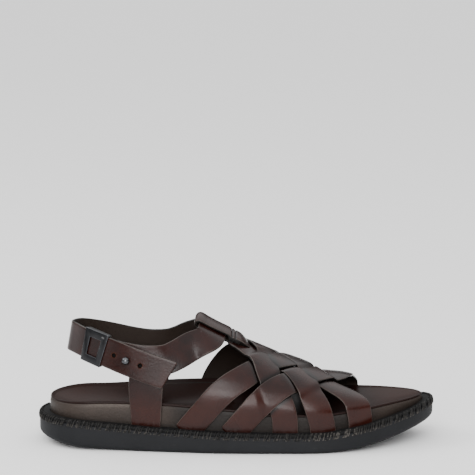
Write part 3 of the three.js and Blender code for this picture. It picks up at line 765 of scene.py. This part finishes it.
def weltRings():
    thick, ease, inset = welt["thickness"], welt["round"], welt["inset"]
    far = sole["ledge"] - sole["seatGap"]
    lines = [(inset, 0.0), (inset, thick - ease)]
    for turn in np.radians([30, 60, 90]):
        lines.append((inset + ease * (1 - np.cos(turn)), thick - ease * (1 - np.sin(turn))))
    lines += [(welt["flatFrom"], thick), (far, thick), (far, 0.0), (inset, 0.0)]
    return np.array([soleRing(spot, onTop, sole["seatGap"] + rise) for spot, rise in lines])


makePiece("welt_strip", gridOver(weltRings(), caps=False), weltMaterial, ["welt"], sharp=50)


def whipStitches():
    outline = soleRing(0.0, onTop)
    run = runLength(outline)
    count = round(run[-1] / welt["pitch"])
    # inset from the outsole's edge and height over its top, from low outside to the top
    wrap = [(0.3, -2.4), (-0.3, -1.7), (-0.3, -0.4), (-0.05, 1.1), (0.5, 2.35), (1.4, 2.95), (2.5, 2.6)]
    paths = []
    for k in range(count):
        for strand in range(welt["strands"]):
            uneven = dice.uniform(-welt["uneven"], welt["uneven"])
            start = (k + welt["spread"] * strand + uneven) * welt["pitch"]
            lean = dice.uniform(*welt["lean"])
            swell = dice.uniform(*welt["swell"])
            path = []
            for step, (inset, rise) in enumerate(wrap):
                spot = (start + lean * step / (len(wrap) - 1)) % run[-1]
                index = np.interp(spot, run, np.arange(len(run)))
                low = int(index) % (len(outline) - 1)
                tangent = outline[low + 1] - outline[low]
                edge = outline[low] + tangent * (index - int(index))
                inward = np.cross([0, 0, 1.0], unit(tangent))
                high = rise * (0.9 + 0.1 * swell) + dice.uniform(-welt["loose"], welt["loose"])
                path.append(edge + inward * inset + np.array([0, 0, high]))
            x, y = path[0][:2]
            pale = welt["fleckShare"] * float(between(x, 48, 60, 82, 92) * (y < 0))
            paths.append((np.array(path), swell, dice.uniform(0.0, 0.15) + pale))
    return paths


def stitchShapes(paths):
    bm = bmesh.new()
    for path, swell, pale in paths:
        taper = welt["strand"] * swell * np.array([0.55] + [1.0] * (len(path) - 2) + [0.55])
        strand = tube(path, taper)
        above = strand[..., 2] - soleTop(shareAlong(strand[..., 0]))
        # the lower ends of the strands, below the outsole's top, carry a painted highlight; pale sets the
        # flecks
        addShape(bm, gridOver(strand, marks={"fleckAndHighlight": pale + 0.5 * (1 - smooth(above, -1.2, 0.2))}))
    return bm


makePiece("welt_whip_stitches", stitchShapes(whipStitches()), threadMaterial)
print("welt made")

# Footbed: wall and insole

footbed = {
    "shoulder": 3.0,
    "shoulderDrop": 1.4,
    "tuck": 1.1,
    "lip": 1.0,
    "insoleThickness": 2.0,
    "dish": 18.0,
}
rimLine = soleRing(sole["ledge"], onRim)


def insideRim(x, y):
    spots = np.stack([np.ravel(x), np.ravel(y)], -1)
    gaps = np.linalg.norm(spots[:, None] - rimLine[None, :-1, :2], axis=-1)
    return gaps.min(1).reshape(np.shape(x))


def rimAcross(at, y):
    # height of the rim, passing from one side to the other across the footbed
    low, high = edgeAcross(at, -1.0, sole["ledge"]), edgeAcross(at, 1.0, sole["ledge"])
    share = smooth((y - low) / np.maximum(high - low, 0.01), 0.0, 1.0)
    return rimHeight(at, -1.0) * (1 - share) + rimHeight(at, 1.0) * share


def dishTop(at, side, x, y):
    left = np.maximum(0, 1 - insideRim(x, y) / sole["bowlReach"]) ** 2
    return bedHeight(at) + (rimAcross(at, y) - bedHeight(at)) * left


def wallRings():
    gap, ledge, shoulder, tuck = sole["seatGap"], sole["ledge"], footbed["shoulder"], footbed["tuck"]
    below = shoulder + footbed["shoulderDrop"]
    rings = [soleRing(ledge, onTop, gap - 0.2, share) for share in (0.0, 1.0)]
    low, high = soleRing(ledge, onTop, gap), soleRing(ledge, onRim, -below)
    rings += [low * (1 - share) + high * share for share in (0.12, 0.35, 0.65, 1.0)]
    for turn in np.radians(np.linspace(18, 90, 5)):
        rings.append(soleRing(ledge + tuck * (1 - np.cos(turn)), onRim, shoulder * np.sin(turn) - below))
    inset, drop = ledge + tuck + 1.2, footbed["insoleThickness"] + 0.1
    rings.append(soleRing(inset, onRim, -drop - 0.1))
    rings += [soleRing(inset, dishTop, -drop, share) for share in (0.9, 0.7, 0.45, 0.0)]
    return np.array(rings)


def wallMarks(points):
    # darker towards the foot, painted shade in the middle where the strips stand over the wall, and a painted
    # highlight along the outer shoulder behind the post
    at = shareAlong(points[..., 0])
    above = points[..., 2] - soleTop(at)
    below = rimHeight(at, np.where(points[..., 1] < 0, -1.0, 1.0)) - points[..., 2]
    shade = np.maximum(0.8 * (1 - smooth(above, 1.5, 6.0)), 0.85 * between(at, 0.3, 0.37, 0.8, 0.9))
    shoulderHighlight = 0.75 * between(below, 0.8, 1.8, 2.6, 5.5) * between(at, 0.08, 0.16, 0.25, 0.33)
    return {"shade": shade, "shoulderHighlight": shoulderHighlight}


wallPoints = wallRings()
wallShape = gridOver(wallPoints, marks=wallMarks(wallPoints), caps=False)
makePiece("footbed_wall", wallShape, wallMaterial, ["midsole"], sharp=60)


def insoleRings():
    ledge, lip, thick, dish = sole["ledge"], footbed["lip"], footbed["insoleThickness"], footbed["dish"]
    rings = [soleRing(ledge + 2, dishTop, -thick, share) for share in (0.0, 0.4, 0.75)]
    rings.append(soleRing(ledge + 1.6, onRim, -thick))
    for turn in np.radians(np.linspace(-30, 120, 9)):
        inset, drop = ledge + 0.35 + lip * (1 - np.cos(turn)), lip * (1 - np.sin(turn)) - 0.15
        rings.append(soleRing(inset, onRim, -drop))
    rings += [soleRing(ledge + inset, dishTop) for inset in (2.6, 3.6, 5.2, 7.5, 10.5, 14.0, dish)]
    rings += [soleRing(ledge + dish, dishTop, 0.0, share) for share in (0.8, 0.6, 0.4, 0.2, 0.0)]
    return np.array(rings)


def insoleMarks(points):
    # darker in the groove along the rim, and painted shade under the strips
    at = shareAlong(points[..., 0])
    groove = 0.7 * (1 - smooth(insideRim(points[..., 0], points[..., 1]), 1.2, 3.2))
    return {"shade": np.maximum(groove, 0.9 * between(at, 0.45, 0.56, 0.8, 0.9))}


insolePoints = insoleRings()
insoleShape = gridOver(insolePoints, marks=insoleMarks(insolePoints), caps=False)
makePiece("footbed_insole", insoleShape, insoleMaterial, ["insole"], sharp=75)
print("footbed made")

# Woven upper

weave = {
    "width": 19.0,
    "legTop": 21.0,
    "thickness": 2.0,
    "weld": 0.15,
    "fade": 6.5,
    "edgeRound": 0.75,
    "crown": 0.45,
    "rise": 0.75,
    "rows": 110,
    "foot": 0.008,
    "shadow": 3.2,
    "farWider": 0.2,
    "bow": 0.02,
}
sideLines = {
    "rear": {
        "around": [-0.06, 0, 0.085, 0.15, 0.2, 0.235, 0.3, 0.35, 0.41],
        "at": [0.345, 0.376, 0.4205, 0.454, 0.485, 0.51, 0.549, 0.573, 0.604],
    },
    "middle": {
        "around": [-0.06, 0, 0.08, 0.13, 0.2, 0.27, 0.33, 0.37],
        "at": [0.457, 0.488, 0.528, 0.552, 0.594, 0.645, 0.677, 0.695],
    },
    "leg": {
        "around": [-0.06, 0, 0.09, 0.175, 0.28, 0.375, 0.42, 0.45, 0.468, 0.477],
        "at": [0.62, 0.62, 0.6175, 0.602, 0.577, 0.556, 0.538, 0.518, 0.5, 0.478],
    },
    "fore": {
        "around": [-0.06, 0, 0.07, 0.13, 0.195, 0.25, 0.32, 0.41],
        "at": [0.715, 0.714, 0.709, 0.7, 0.686, 0.672, 0.648, 0.604],
    },
    "front": {
        "around": [-0.06, 0, 0.085, 0.15, 0.2, 0.25, 0.3, 0.37],
        "at": [0.808, 0.807, 0.804, 0.797, 0.785, 0.765, 0.737, 0.695],
    },
}
stripRows = [
    {"name": "rear", "outer": "rear", "inner": "fore", "axis": 0.41, "shift": 0.0},
    {"name": "middle", "outer": "middle", "inner": "front", "axis": 0.37, "shift": -0.022},
    {"name": "fore", "outer": "fore", "inner": "rear", "axis": 0.41, "shift": 0.025},
    {"name": "front", "outer": "front", "inner": "middle", "axis": 0.37, "shift": 0.01},
    {"name": "outerLeg", "outer": "leg", "inner": None, "axis": 0.478, "shift": 0.0},
    {"name": "innerLeg", "outer": None, "inner": "leg", "axis": 0.478, "shift": 0.0},
]
# each pair is the strip on top, then the one it crosses over
crossings = [
    ("outerLeg", "rear"),
    ("rear", "fore"),
    ("front", "rear"),
    ("middle", "outerLeg"),
    ("fore", "middle"),
    ("middle", "front"),
    ("fore", "innerLeg"),
    ("innerLeg", "front"),
]


def stripLine(row):
    around, at = [], []
    if row["outer"]:
        around += sideLines[row["outer"]]["around"]
        at += sideLines[row["outer"]]["at"]
    if row["inner"]:
        line, axis = sideLines[row["inner"]], row["axis"]
        far = [
            (1 - a * (1 - axis) / axis, place + row["shift"] * float(smooth(1 - a / axis, 0, 1)))
            for a, place in zip(line["around"], line["at"])
        ][::-1]
        if row["outer"]:
            far = far[1:]
        around += [a for a, _ in far]
        at += [place for _, place in far]
    return {"around": around, "at": at}


stripLines = {row["name"]: stripLine(row) for row in stripRows}


def stripPlace(name, share):
    line = stripLines[name]
    start, end = max(line["around"][0], -weave["foot"]), min(line["around"][-1], 1 + weave["foot"])
    around = start + (end - start) * share
    bow = weave["bow"] * np.exp(-(((around - 0.73) / 0.13) ** 2)) * (name == "middle")
    return readTable(line, around, "around")["at"] - bow, around


stripMiddles = {name: lastPoint(*stripPlace(name, np.linspace(0, 1, 181))) for name in stripLines}


def nearStrips(points, names, near, far):
    # 1 beside the middle line of any named strip, and 0 from far on
    share = np.zeros(points.shape[:-1])
    for name in names:
        gaps = np.linalg.norm(points[..., None, :] - stripMiddles[name], axis=-1).min(-1)
        share = np.maximum(share, 1 - smooth(gaps, near, far))
    return share


def liftOver(name, points):
    flat = weave["width"] / 2 + 0.6
    below = [under for over, under in crossings if over == name]
    high = weave["thickness"] - weave["weld"] + weave["rise"]
    return high * nearStrips(points, below, flat, flat + weave["fade"])


def shadeUnder(name, points):
    # painted shadow on the lower strip along each side of the one that crosses over it
    edge = weave["width"] / 2
    above = [over for over, under in crossings if under == name]
    return nearStrips(points, above, edge + 0.6, edge + weave["shadow"])


def burnishAlong(around):
    # rubbed warm colour low on each side of the foot
    return np.maximum(between(around, -0.01, 0.05, 0.12, 0.27), between(1 - around, -0.01, 0.05, 0.12, 0.27))


def makeStrip(name, extra):
    rows = weave["rows"] // 2 + 8 if name in ("outerLeg", "innerLeg") else weave["rows"]
    share = np.linspace(0, 1, rows)
    at, around = stripPlace(name, share)
    before = stripPlace(name, np.maximum(0, share - 0.01))
    after = stripPlace(name, np.minimum(1, share + 0.01))
    across, off, face = cutSection(weave["width"], weave["thickness"], weave["edgeRound"], weave["crown"])
    tops = {"outerLeg": smooth(share, 0.72, 1), "innerLeg": 1 - smooth(share, 0, 0.28)}
    top = tops.get(name, np.zeros(rows))
    wide = 1 + (weave["legTop"] / weave["width"] - 1) * top
    wide = wide + weave["farWider"] * between(around, 0.38, 0.5, 0.84, 0.95)
    course = [(b - a)[:, None] for a, b in zip(before, after)]
    spotAt, spotAround = beside(at[:, None], around[:, None], *course, across[None] * wide[:, None])
    ground = lastPoint(spotAt, spotAround)
    lift = liftOver(name, ground) + extra * top[:, None]
    points = ground + lastFrame(spotAt, spotAround)[2] * (lift + off[None])[..., None]
    # painted shadow beside the strips that cross over this one
    dark = 0.95 * shadeUnder(name, ground)
    marks = {"burnish": burnishAlong(spotAround), "scuff": np.zeros(spotAt.shape), "dark": dark}
    return gridOver(points, face, runLength(points[:, 5]), across, marks)


stripSink = {"innerLeg": -0.45}
for row in stripRows:
    name = row["name"]
    shape = makeStrip(name, stripSink.get(name, 0.0))
    stands = ["upper"] if name == "rear" else []
    makePiece("strip_" + name, shape, strapMaterial, stands, sharp=80, levels=1)
print("strips made")

bar = {
    "width": 21.0,
    "foldAt": 0.393,
    "around": 0.478,
    "stitch": 29.6,
    "loopGap": 0.6,
    "bandThickness": 2.0,
    "taper": 0.35,
    "edgeRound": 0.7,
    "crown": 0.15,
    "groove": 0.7,
    "grooveWidth": 0.65,
    "grooves": [-0.9, 2.0],
    # past the stitch line, and the height of the folded end over the last
    "wedge": [(-1.5, 7.1), (0.5, 7.0), (4, 6.9), (7, 6.5), (10, 5.3), (13, 3.8), (15, 2.7), (16.4, 2.15)],
}


def barLine():
    # side view of the folded centre strip: along from the fold, off the last, and how thick it is there
    thick, seam = weave["thickness"], bar["stitch"]
    low = thick / 2
    high = thick + bar["bandThickness"] + 2 * bar["loopGap"] + low
    radius = (high - low) / 2
    rows = [(seam + 2.0, low, thick), (seam - 6, low, thick), (radius + 8, low, thick)]
    for turn in np.radians(np.linspace(270, 90, 9)):
        rows.append((radius * (1 + math.cos(turn)), low + radius * (1 + math.sin(turn)), thick))
    rows += [(radius + 5, high, thick), (seam - 8, high, thick), (seam - 4, high - 0.1, thick + 0.2)]
    legs = thick - weave["weld"]
    rows += [(seam + past, (top + legs) / 2, top - legs) for past, top in bar["wedge"]]
    x, z, deep = (np.array(column) for column in zip(*rows))
    run = runLength(np.stack([x, z], -1))
    fine = np.arange(0, run[-1], 0.5)
    line = readTable({"run": run, "x": x, "z": z, "deep": deep}, fine, "run")
    return np.stack([line["x"], line["z"]], -1), line["deep"], fine


def makeBar():
    line, deep, run = barLine()
    tangent = unit(np.gradient(line, axis=0))
    normal = np.stack([-tangent[:, 1], tangent[:, 0]], -1)
    upper = line[:, 1] > weave["thickness"]
    upright = (smooth(line[:, 0], bar["stitch"] - 9, bar["stitch"] - 5) * upper)[:, None]
    upright = np.maximum(upright, (run > run[-1] - 12)[:, None])
    normal = normal * (1 - upright) + np.array([0.0, 1.0]) * upright
    across, off, face = cutSection(bar["width"], weave["thickness"], bar["edgeRound"], bar["crown"])
    up = (off / weave["thickness"] - 0.5)[None] * deep[:, None]
    past = line[:, 0] - bar["stitch"]
    groove = sum(np.exp(-(((past - spot) / bar["grooveWidth"]) ** 2)) for spot in bar["grooves"])
    groove = groove * (line[:, 1] > weave["thickness"] * 1.3)
    up = up - bar["groove"] * groove[:, None] * (face > 0.6)[None]
    x, z = line[:, :1] + normal[:, :1] * up, line[:, 1:] + normal[:, 1:] * up
    stretch = np.linalg.norm(lastFrame(np.array(bar["foldAt"] + 0.05), np.array(bar["around"]))[0])
    place = bar["foldAt"] + x / stretch
    ones = np.ones_like(place)
    narrow = 1 - bar["taper"] * smooth(past, 5, 17)[:, None]
    spotAt, spotAround = beside(place, bar["around"] * ones, ones, 0 * ones, across[None] * narrow * ones)
    points = lastPoint(spotAt, spotAround) + lastFrame(spotAt, spotAround)[2] * z[..., None]
    raw = smooth(past, -5, 1)[:, None] * (1 - smooth(face, 0.55, 0.9))[None] * upper[:, None]
    # painted shade in the stitch grooves across the folded bar
    dark = np.minimum(1, 1.4 * groove)[:, None] * ones
    return gridOver(points, face, run, across, {"burnish": 0.12 + 0.6 * raw, "scuff": 0 * ones, "dark": dark})


makePiece("centre_bar", makeBar(), strapMaterial, sharp=80, levels=1)
print("centre bar made")

# Ankle strap

band = {
    "width": 22.0,
    "thickness": 2.0,
    "edgeRound": 0.7,
    "ankleHalf": 36.0,
    "height": 79.8,
    "tabSkew": 0.25,
    "tabCorner": 1.6,
    "tabPared": 0.7,
    "postWidth": 21.6,
    "postFlare": 0.6,
    "holeRadius": 1.75,
    "holePitch": 10.5,
    "holeCell": 1.2,
    "studFromEnd": 33.5,
}
# at, out and up as shares, turn and lean in degrees, layer; on the foot only at and around on the last
bandRows = [
    (0.19, -0.815, 0.875, -112, 5, 0),
    (0.229, -0.945, 0.852, -103, 6, 0),
    (0.276, -1.01, 0.835, -95, 8, 0),
    (0.324, -0.985, 0.842, -87, 15, 0),
    (0.3535, -0.9, 0.882, -78, 24, 0),
    (0.3865, -0.745, 0.942, -66, 34, 0),
    (0.425, 0.375),
    (0.4325, 0.43),
    (0.435, 0.478),
    (0.4335, 0.53),
    (0.427, 0.585),
    (0.3865, 0.775, 0.94, 66, 34, 0),
    (0.3535, 0.905, 0.872, 78, 24, 0),
    (0.324, 0.965, 0.832, 87, 15, 0),
    (0.276, 0.98, 0.82, 93, 8, 0),
    (0.229, 0.92, 0.847, 101, 6, 0),
    (0.18, 0.8, 0.895, 112, 5, 0),
    (0.134, 0.59, 0.944, 127, 5, 0),
    (0.0985, 0.31, 0.982, 150, 8, 0),
    (0.0805, -0.02, 0.99, 180, 10, 0),
    (0.097, -0.31, 0.982, 208, 8, 0),
    (0.132, -0.6, 0.953, 232, 4, 0.5),
    (0.19, -0.815, 0.882, 248, 5, 1),
    (0.229, -0.945, 0.832, 257, 6, 1),
    (0.283, -1.015, 0.76, 264, 8, 1.15),
    (0.335, -1.03, 0.697, 267, 9, 1.9),
]


def facing(turn, lean):
    turn, lean = np.radians(turn), np.radians(lean)
    return np.stack([np.cos(lean) * np.cos(turn), np.cos(lean) * np.sin(turn), np.sin(lean)], -1)


def bandCorners():
    corners, turns = [], []
    for row in bandRows:
        if len(row) == 2:
            at, around = np.array(row[0]), np.array(row[1])
            out = lastFrame(at, around)[2]
            high = weave["thickness"] + bar["loopGap"] + band["thickness"] / 2
            corners.append(lastPoint(at, around) + out * high)
            turns.append((math.degrees(math.atan2(out[1], out[0])), math.degrees(math.asin(out[2]))))
            continue
        at, out, up, turn, lean, layer = row
        spot = np.array([float(alongSole(at)), band["ankleHalf"] * out, band["height"] * up])
        corners.append(spot + facing(turn, lean) * layer * (band["thickness"] + sole["seatGap"]))
        turns.append((turn, lean))
    return np.array(corners), np.array(turns)


bandKnots, bandTurns = bandCorners()


def bandCurve(t):
    # centripetal curve through the knots, t from 0 to 1
    knots = np.vstack([2 * bandKnots[0] - bandKnots[1], bandKnots, 2 * bandKnots[-1] - bandKnots[-2]])
    spans = len(bandKnots) - 1
    place = np.clip(np.asarray(t, float), 0, 1) * spans
    i = np.minimum(place.astype(int), spans - 1)
    w = (place - i)[..., None]
    p0, p1, p2, p3 = (knots[i + k] for k in range(4))
    pairs = ((p0, p1), (p1, p2), (p2, p3))
    d0, d1, d2 = (np.sqrt(np.linalg.norm(b - a, axis=-1))[..., None] for a, b in pairs)
    m1 = ((p1 - p0) / d0 - (p2 - p0) / (d0 + d1) + (p2 - p1) / d1) * d1
    m2 = ((p2 - p1) / d1 - (p3 - p1) / (d1 + d2) + (p3 - p2) / d2) * d1
    return cubic(w, p1, p2, m1, m2)


curveT = np.linspace(0, 1, 2401)
curveRun = runLength(bandCurve(curveT))
bandLength = curveRun[-1]


def bandPoint(share, up, out):
    share, up, out = np.broadcast_arrays(*(np.asarray(v, float) for v in (share, up, out)))
    t = np.interp(np.clip(share, 0, 1) * bandLength, curveRun, curveT)
    small = 2e-4
    along = unit(bandCurve(t + small) - bandCurve(t - small))
    turns = {"knot": np.arange(len(bandKnots)), "turn": bandTurns[:, 0], "lean": bandTurns[:, 1]}
    row = readTable(turns, t * (len(bandKnots) - 1), "knot")
    across = unit(np.cross(facing(row["turn"], row["lean"]), along))
    square = np.cross(along, across)
    past = ((share - np.clip(share, 0, 1)) * bandLength)[..., None]
    return bandCurve(t) + across * up[..., None] + square * out[..., None] + along * past


studShare = 1 - band["studFromEnd"] / bandLength
holeShares = [studShare + step * band["holePitch"] / bandLength for step in (-1, 1)]
holeRuns = [share * bandLength for share in holeShares]


def bandSection(columns):
    # even columns across both faces, so that the holes can be punched straight through
    half, thick, ease = band["width"] / 2, band["thickness"], band["edgeRound"]
    flat = np.arange(-columns, columns + 1) * (half - 0.75) / columns
    edge = [
        (half - ease + ease * math.sin(t), thick - ease + ease * math.cos(t), 1 - t / math.pi)
        for t in np.radians([22, 45, 68, 90])
    ]
    edge += [(half, 0.9, 0.5), (half, 0.35, 0.4), (half - 0.12, 0.1, 0.3), (half - 0.35, 0.0, 0.2)]
    rows = [(a, thick, 1.0) for a in flat] + edge + [(-a, 0.0, 0.0) for a in flat]
    rows += [(-a, o, f) for a, o, f in edge[::-1]]
    rows.append(rows[0])
    return [np.array(column) for column in zip(*rows)], (columns, 3 * columns + 1 + len(edge))


def bandRun(cell):
    # rows along the band, close together by the holes and at the tip
    runs, start = [], 0.0
    for hole in holeRuns:
        count = max(2, round((hole - 4 * cell - start) / 1.5))
        runs += list(np.linspace(start, hole - 4 * cell, count, endpoint=False))
        runs += [hole + cell * k for k in range(-4, 4)]
        start = hole + 4 * cell
    tip = [bandLength - d for d in (2.0, 1.2, 0.7, 0.35, 0.12, 0)]
    return np.array([*runs, *np.linspace(start, bandLength - 3.0, 10), *tip])


def makeBand():
    cell = band["holeCell"]
    (across, off, face), middles = bandSection(8)
    run = bandRun(cell)
    left = (bandLength - run)[:, None]
    corner, thin = band["tabCorner"], band["tabPared"]
    tuck = corner - np.sqrt(np.maximum(corner**2 - np.maximum(corner - left, 0) ** 2, 0))
    pare = 1 - 0.85 * (1 - np.sqrt(np.maximum(1 - np.maximum(1 - left / thin, 0) ** 2, 0)))
    wide = across[None] * (1 - tuck / (band["width"] / 2))
    long = run[:, None] + 0 * wide
    flatFace = (face[None] > 0.9) | (face[None] < 0.1)
    for hole in holeRuns:
        # the mesh round each hole eases from squares to a circle
        u, v = long - hole, wide
        box = np.maximum(np.abs(u), np.abs(v)) / (2 * cell)
        length = np.maximum(np.hypot(u, v), 1e-9)
        wanted = band["holeRadius"] * (box + 1.6 * np.maximum(box - 1, 0))
        factor = 1 + (wanted / length - 1) * np.where(flatFace, 1 - smooth(box, 1.0, 1.9), 0)
        long, wide = hole + u * factor, v * factor
    share = long / bandLength
    slant = band["tabSkew"] * wide * smooth(share, 0.85, 1) / bandLength
    points = bandPoint(share + slant, wide, (off[None] - band["thickness"] / 2) * pare)
    burnish = 0.35 * smooth(share, 0.78, 0.9)
    for hole in holeShares + [studShare]:
        gaps = np.linalg.norm(points - bandPoint(hole, 0, 1), axis=-1)
        burnish = np.maximum(burnish, 0.75 * (1 - smooth(gaps, 1.5, 5.5)))
    burnish = np.maximum(burnish, 0.75 * (1 - smooth(left, 0.5, 9.0)) * smooth(wide, -2, 11))
    scuff = 0.35 * between(share, 0.85, 0.9, 0.94, 0.97)
    punches = [(int(np.argmin(abs(run - hole))), 2, middles) for hole in holeRuns]
    return gridOver(points, face, run, across, {"burnish": burnish, "scuff": scuff}, punches=punches)


makePiece("ankle_band", makeBand(), strapMaterial, ["ankle_strap"], sharp=60)

posts = {
    "outer": {"side": -1.0, "at": 0.274, "meets": 0.077},
    "inner": {"side": 1.0, "at": 0.278, "meets": 0.505},
}


def makePost(row):
    # a strap that rises from the ledge, leans in to the band and runs flat over its inside
    side, climb = row["side"], 0.78
    across, off, face = cutSection(band["postWidth"], band["thickness"], band["edgeRound"], 0.2)
    y = across[None] / band["postWidth"]
    z = off / band["thickness"] - 0.5
    low = -1.0 if bandPoint(row["meets"], -1, 0)[2] < bandPoint(row["meets"], 1, 0)[2] else 1.0
    height = np.linspace(0, 1, 46)[:, None]
    rising = smooth(height, 0.5, climb)
    beyond = y * side * (band["postWidth"] + 2 * band["postFlare"] * rising * (y < 0))
    out = z[None] * (band["thickness"] - 2 * weave["weld"] * rising)
    share = row["meets"] - side * beyond / bandLength
    reach = low * band["width"] / 2
    over = bandPoint(share, reach * (1 - np.maximum(0, height - climb) / (1 - climb)), out)
    foot = row["at"] + y * side * band["postWidth"] / sole["length"] + 0 * height
    wall = edgeAcross(foot, side, sole["ledge"]) + side * (sole["seatGap"] + band["thickness"] / 2 + out)
    base = np.stack([alongSole(foot), wall, soleTop(foot) - sole["seatGap"]], -1)
    top = bandPoint(share, np.full_like(share, reach), out)
    inward = unit(bandPoint(share, np.full_like(share, reach * 0.5), out) - top)
    hold = ((top[..., 2] - base[..., 2]) / 3)[..., None]
    knee, neck = base + hold * np.array([0, 0, 1.0]), top - inward * hold
    t = np.minimum(height / climb, 1)[..., None]
    lower = base * (1 - t) ** 3 + 3 * knee * t * (1 - t) ** 2 + 3 * neck * t**2 * (1 - t) + top * t**3
    points = np.where((height > climb)[..., None], over, lower)
    scuff = 0.9 * smooth(y * side, 0.15, 0.45) * between(height, 0.3, 0.5, 0.72, 0.8)
    burnish = 0.9 * between(height, 0.0, 0.12, 0.3, 0.62) + 0 * y
    return gridOver(points, face, runLength(points[:, 5]), across, {"burnish": burnish, "scuff": scuff})


for name, row in posts.items():
    makePiece("ankle_post_" + name, makePost(row), strapMaterial, sharp=80, levels=1)

# raw edges of the punched holes round a dark cup of painted shade: share of the radius, height over the
# strap's face, and how dark it is
holeCup = [
    (0, -1.5, 1),
    (0.96, -1.5, 1),
    (0.99, -0.5, 0.8),
    (1.0, -0.1, 0),
    (1.16, 0.07, 0),
    (1.28, -0.12, 0),
    (1.1, -1.8, 1),
    (0, -1.8, 1),
]


def holeRims():
    bm = bmesh.new()
    line = [(band["holeRadius"] * wide, high, dark) for wide, high, dark in holeCup]
    for hole in holeShares:
        out = band["thickness"] / 2
        addShape(bm, spunShape(line, 28, bandPoint(hole, 0, out), bandPoint(hole, 0, out + 1)))
    return bm


# the dark floor of each hole's cup is painted shade
makePiece("hole_rims", holeRims(), rawMaterial)
print("ankle strap made")

# Stud

stud = {"ball": 2.9, "neck": 1.3, "base": 3.4, "baseThickness": 1.1, "baseEase": 0.3}


def makeStud():
    ball, neck, base = stud["ball"], stud["neck"], stud["base"]
    inside = -(1.5 * band["thickness"] + 2 * sole["seatGap"])
    outside = band["thickness"] / 2 + sole["seatGap"]
    foot, ease = inside - stud["baseThickness"], stud["baseEase"]
    line = [(0, foot), (base - ease, foot), (base, foot + ease), (base, inside), (neck, inside)]
    line += [(neck, outside - 0.25), (neck + 0.5, outside - 0.1)]
    start = math.asin((neck + 0.2) / ball)
    for turn in (start + (math.pi - start) * k / 14 for k in range(1, 14)):
        line.append((ball * math.sin(turn), outside + ball * (0.85 - math.cos(turn))))
    line.append((0, outside + ball * 1.85))
    return spunShape([(x, z, 0) for x, z in line], 32, bandPoint(studShare, 0, 0), bandPoint(studShare, 0, 1))


makePiece("stud_body", makeStud(), studMaterial, ["stud"], sharp=40)

# Keeper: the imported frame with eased, bright edges

keeper = {"bevel": 0.25, "flat": 6.0, "hard": 35.0}


def makeKeeper():
    bm = bmesh.new()
    bm.from_mesh(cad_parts["keeper"].data)
    bmesh.ops.remove_doubles(bm, verts=bm.verts, dist=1e-6)
    bmesh.ops.dissolve_limit(bm, angle_limit=math.radians(keeper["flat"]), verts=bm.verts, edges=bm.edges)
    least = math.radians(keeper["hard"])
    hard = [edge for edge in bm.edges if edge.is_manifold and edge.calc_face_angle() > least]
    eased = {"affect": "EDGES", "segments": 2, "profile": 0.5, "material": 1}
    bmesh.ops.bevel(bm, geom=hard, offset=keeper["bevel"] * mm, **eased)
    return bm


keeperFinish = [keeperMaterial, keeperEdgeMaterial]
makePiece("keeper_frame", makeKeeper(), keeperFinish, ["keeper"], sharp=40, turn=False)
print("metal parts made")

# Floor, light and camera, in metres

studio = {
    "floor": (0.93, 0.93, 0.93),
    "sky": 1.75,
    "horizon": 0.035,
    "aim": (0, 0, 0.04),
    "topLight": {"place": (-0.2, -1.95, 1.45), "size": (1.3, 0.75), "power": 20.0},
    "frontLight": {"place": (-0.25, -2.9, 0.85), "size": (1.9, 0.8), "power": 54.0},
    "sideLight": {"place": (-1.6, 0.3, 1.3), "size": (0.9, 0.9), "power": 13.0},
}
view = {"lens": 171.66, "place": (0.0, -1.6594, 0.4087), "pitch": 81.207, "turn": -0.018}

floorMesh = bpy.data.meshes.new("floor")
floorBm = bmesh.new()
bmesh.ops.create_grid(floorBm, x_segments=1, y_segments=1, size=30.0)
floorBm.to_mesh(floorMesh)
floorBm.free()
floor = bpy.data.objects.new("floor", floorMesh)
bpy.context.scene.collection.objects.link(floor)
floorMaterial, _, floorShader, _ = startMaterial("paleFloor")
floorShader.inputs["Base Color"].default_value = (*studio["floor"], 1)
floorShader.inputs["Roughness"].default_value = 0.9
floorMesh.materials.append(floorMaterial)

world = bpy.data.worlds.new("studio")
world.use_nodes = True
addSky = nodeMaker(world.node_tree)
skyPlace = addSky("ShaderNodeTexCoord").outputs["Generated"]
height = addSky("ShaderNodeSeparateXYZ", in_Vector=skyPlace).outputs["Z"]
skyStops = [(0.0, studio["horizon"]), (0.22, 1.6 * studio["horizon"]), (0.46, 0.7), (0.72, 1.0)]
background = world.node_tree.nodes["Background"]
setSocket(background.inputs["Color"], ramp(addSky, height, skyStops, True))
background.inputs["Strength"].default_value = studio["sky"]
bpy.context.scene.world = world

for name in ("topLight", "frontLight", "sideLight"):
    spec = studio[name]
    light = bpy.data.lights.new(name, "AREA")
    light.shape = "RECTANGLE"
    light.size, light.size_y = spec["size"]
    light.energy = spec["power"]
    lamp = bpy.data.objects.new(name, light)
    lamp.location = spec["place"]
    lamp.rotation_euler = (Vector(studio["aim"]) - Vector(spec["place"])).to_track_quat("-Z", "Y").to_euler()
    bpy.context.scene.collection.objects.link(lamp)

cameraData = bpy.data.cameras.new("camera")
cameraData.lens, cameraData.sensor_width = view["lens"], 36.0
cameraData.clip_start, cameraData.clip_end = 0.05, 60.0
camera = bpy.data.objects.new("camera", cameraData)
camera.location = view["place"]
camera.rotation_euler = (math.radians(view["pitch"]), 0, math.radians(view["turn"]))
bpy.context.scene.collection.objects.link(camera)
bpy.context.scene.camera = camera
print("stage ready")
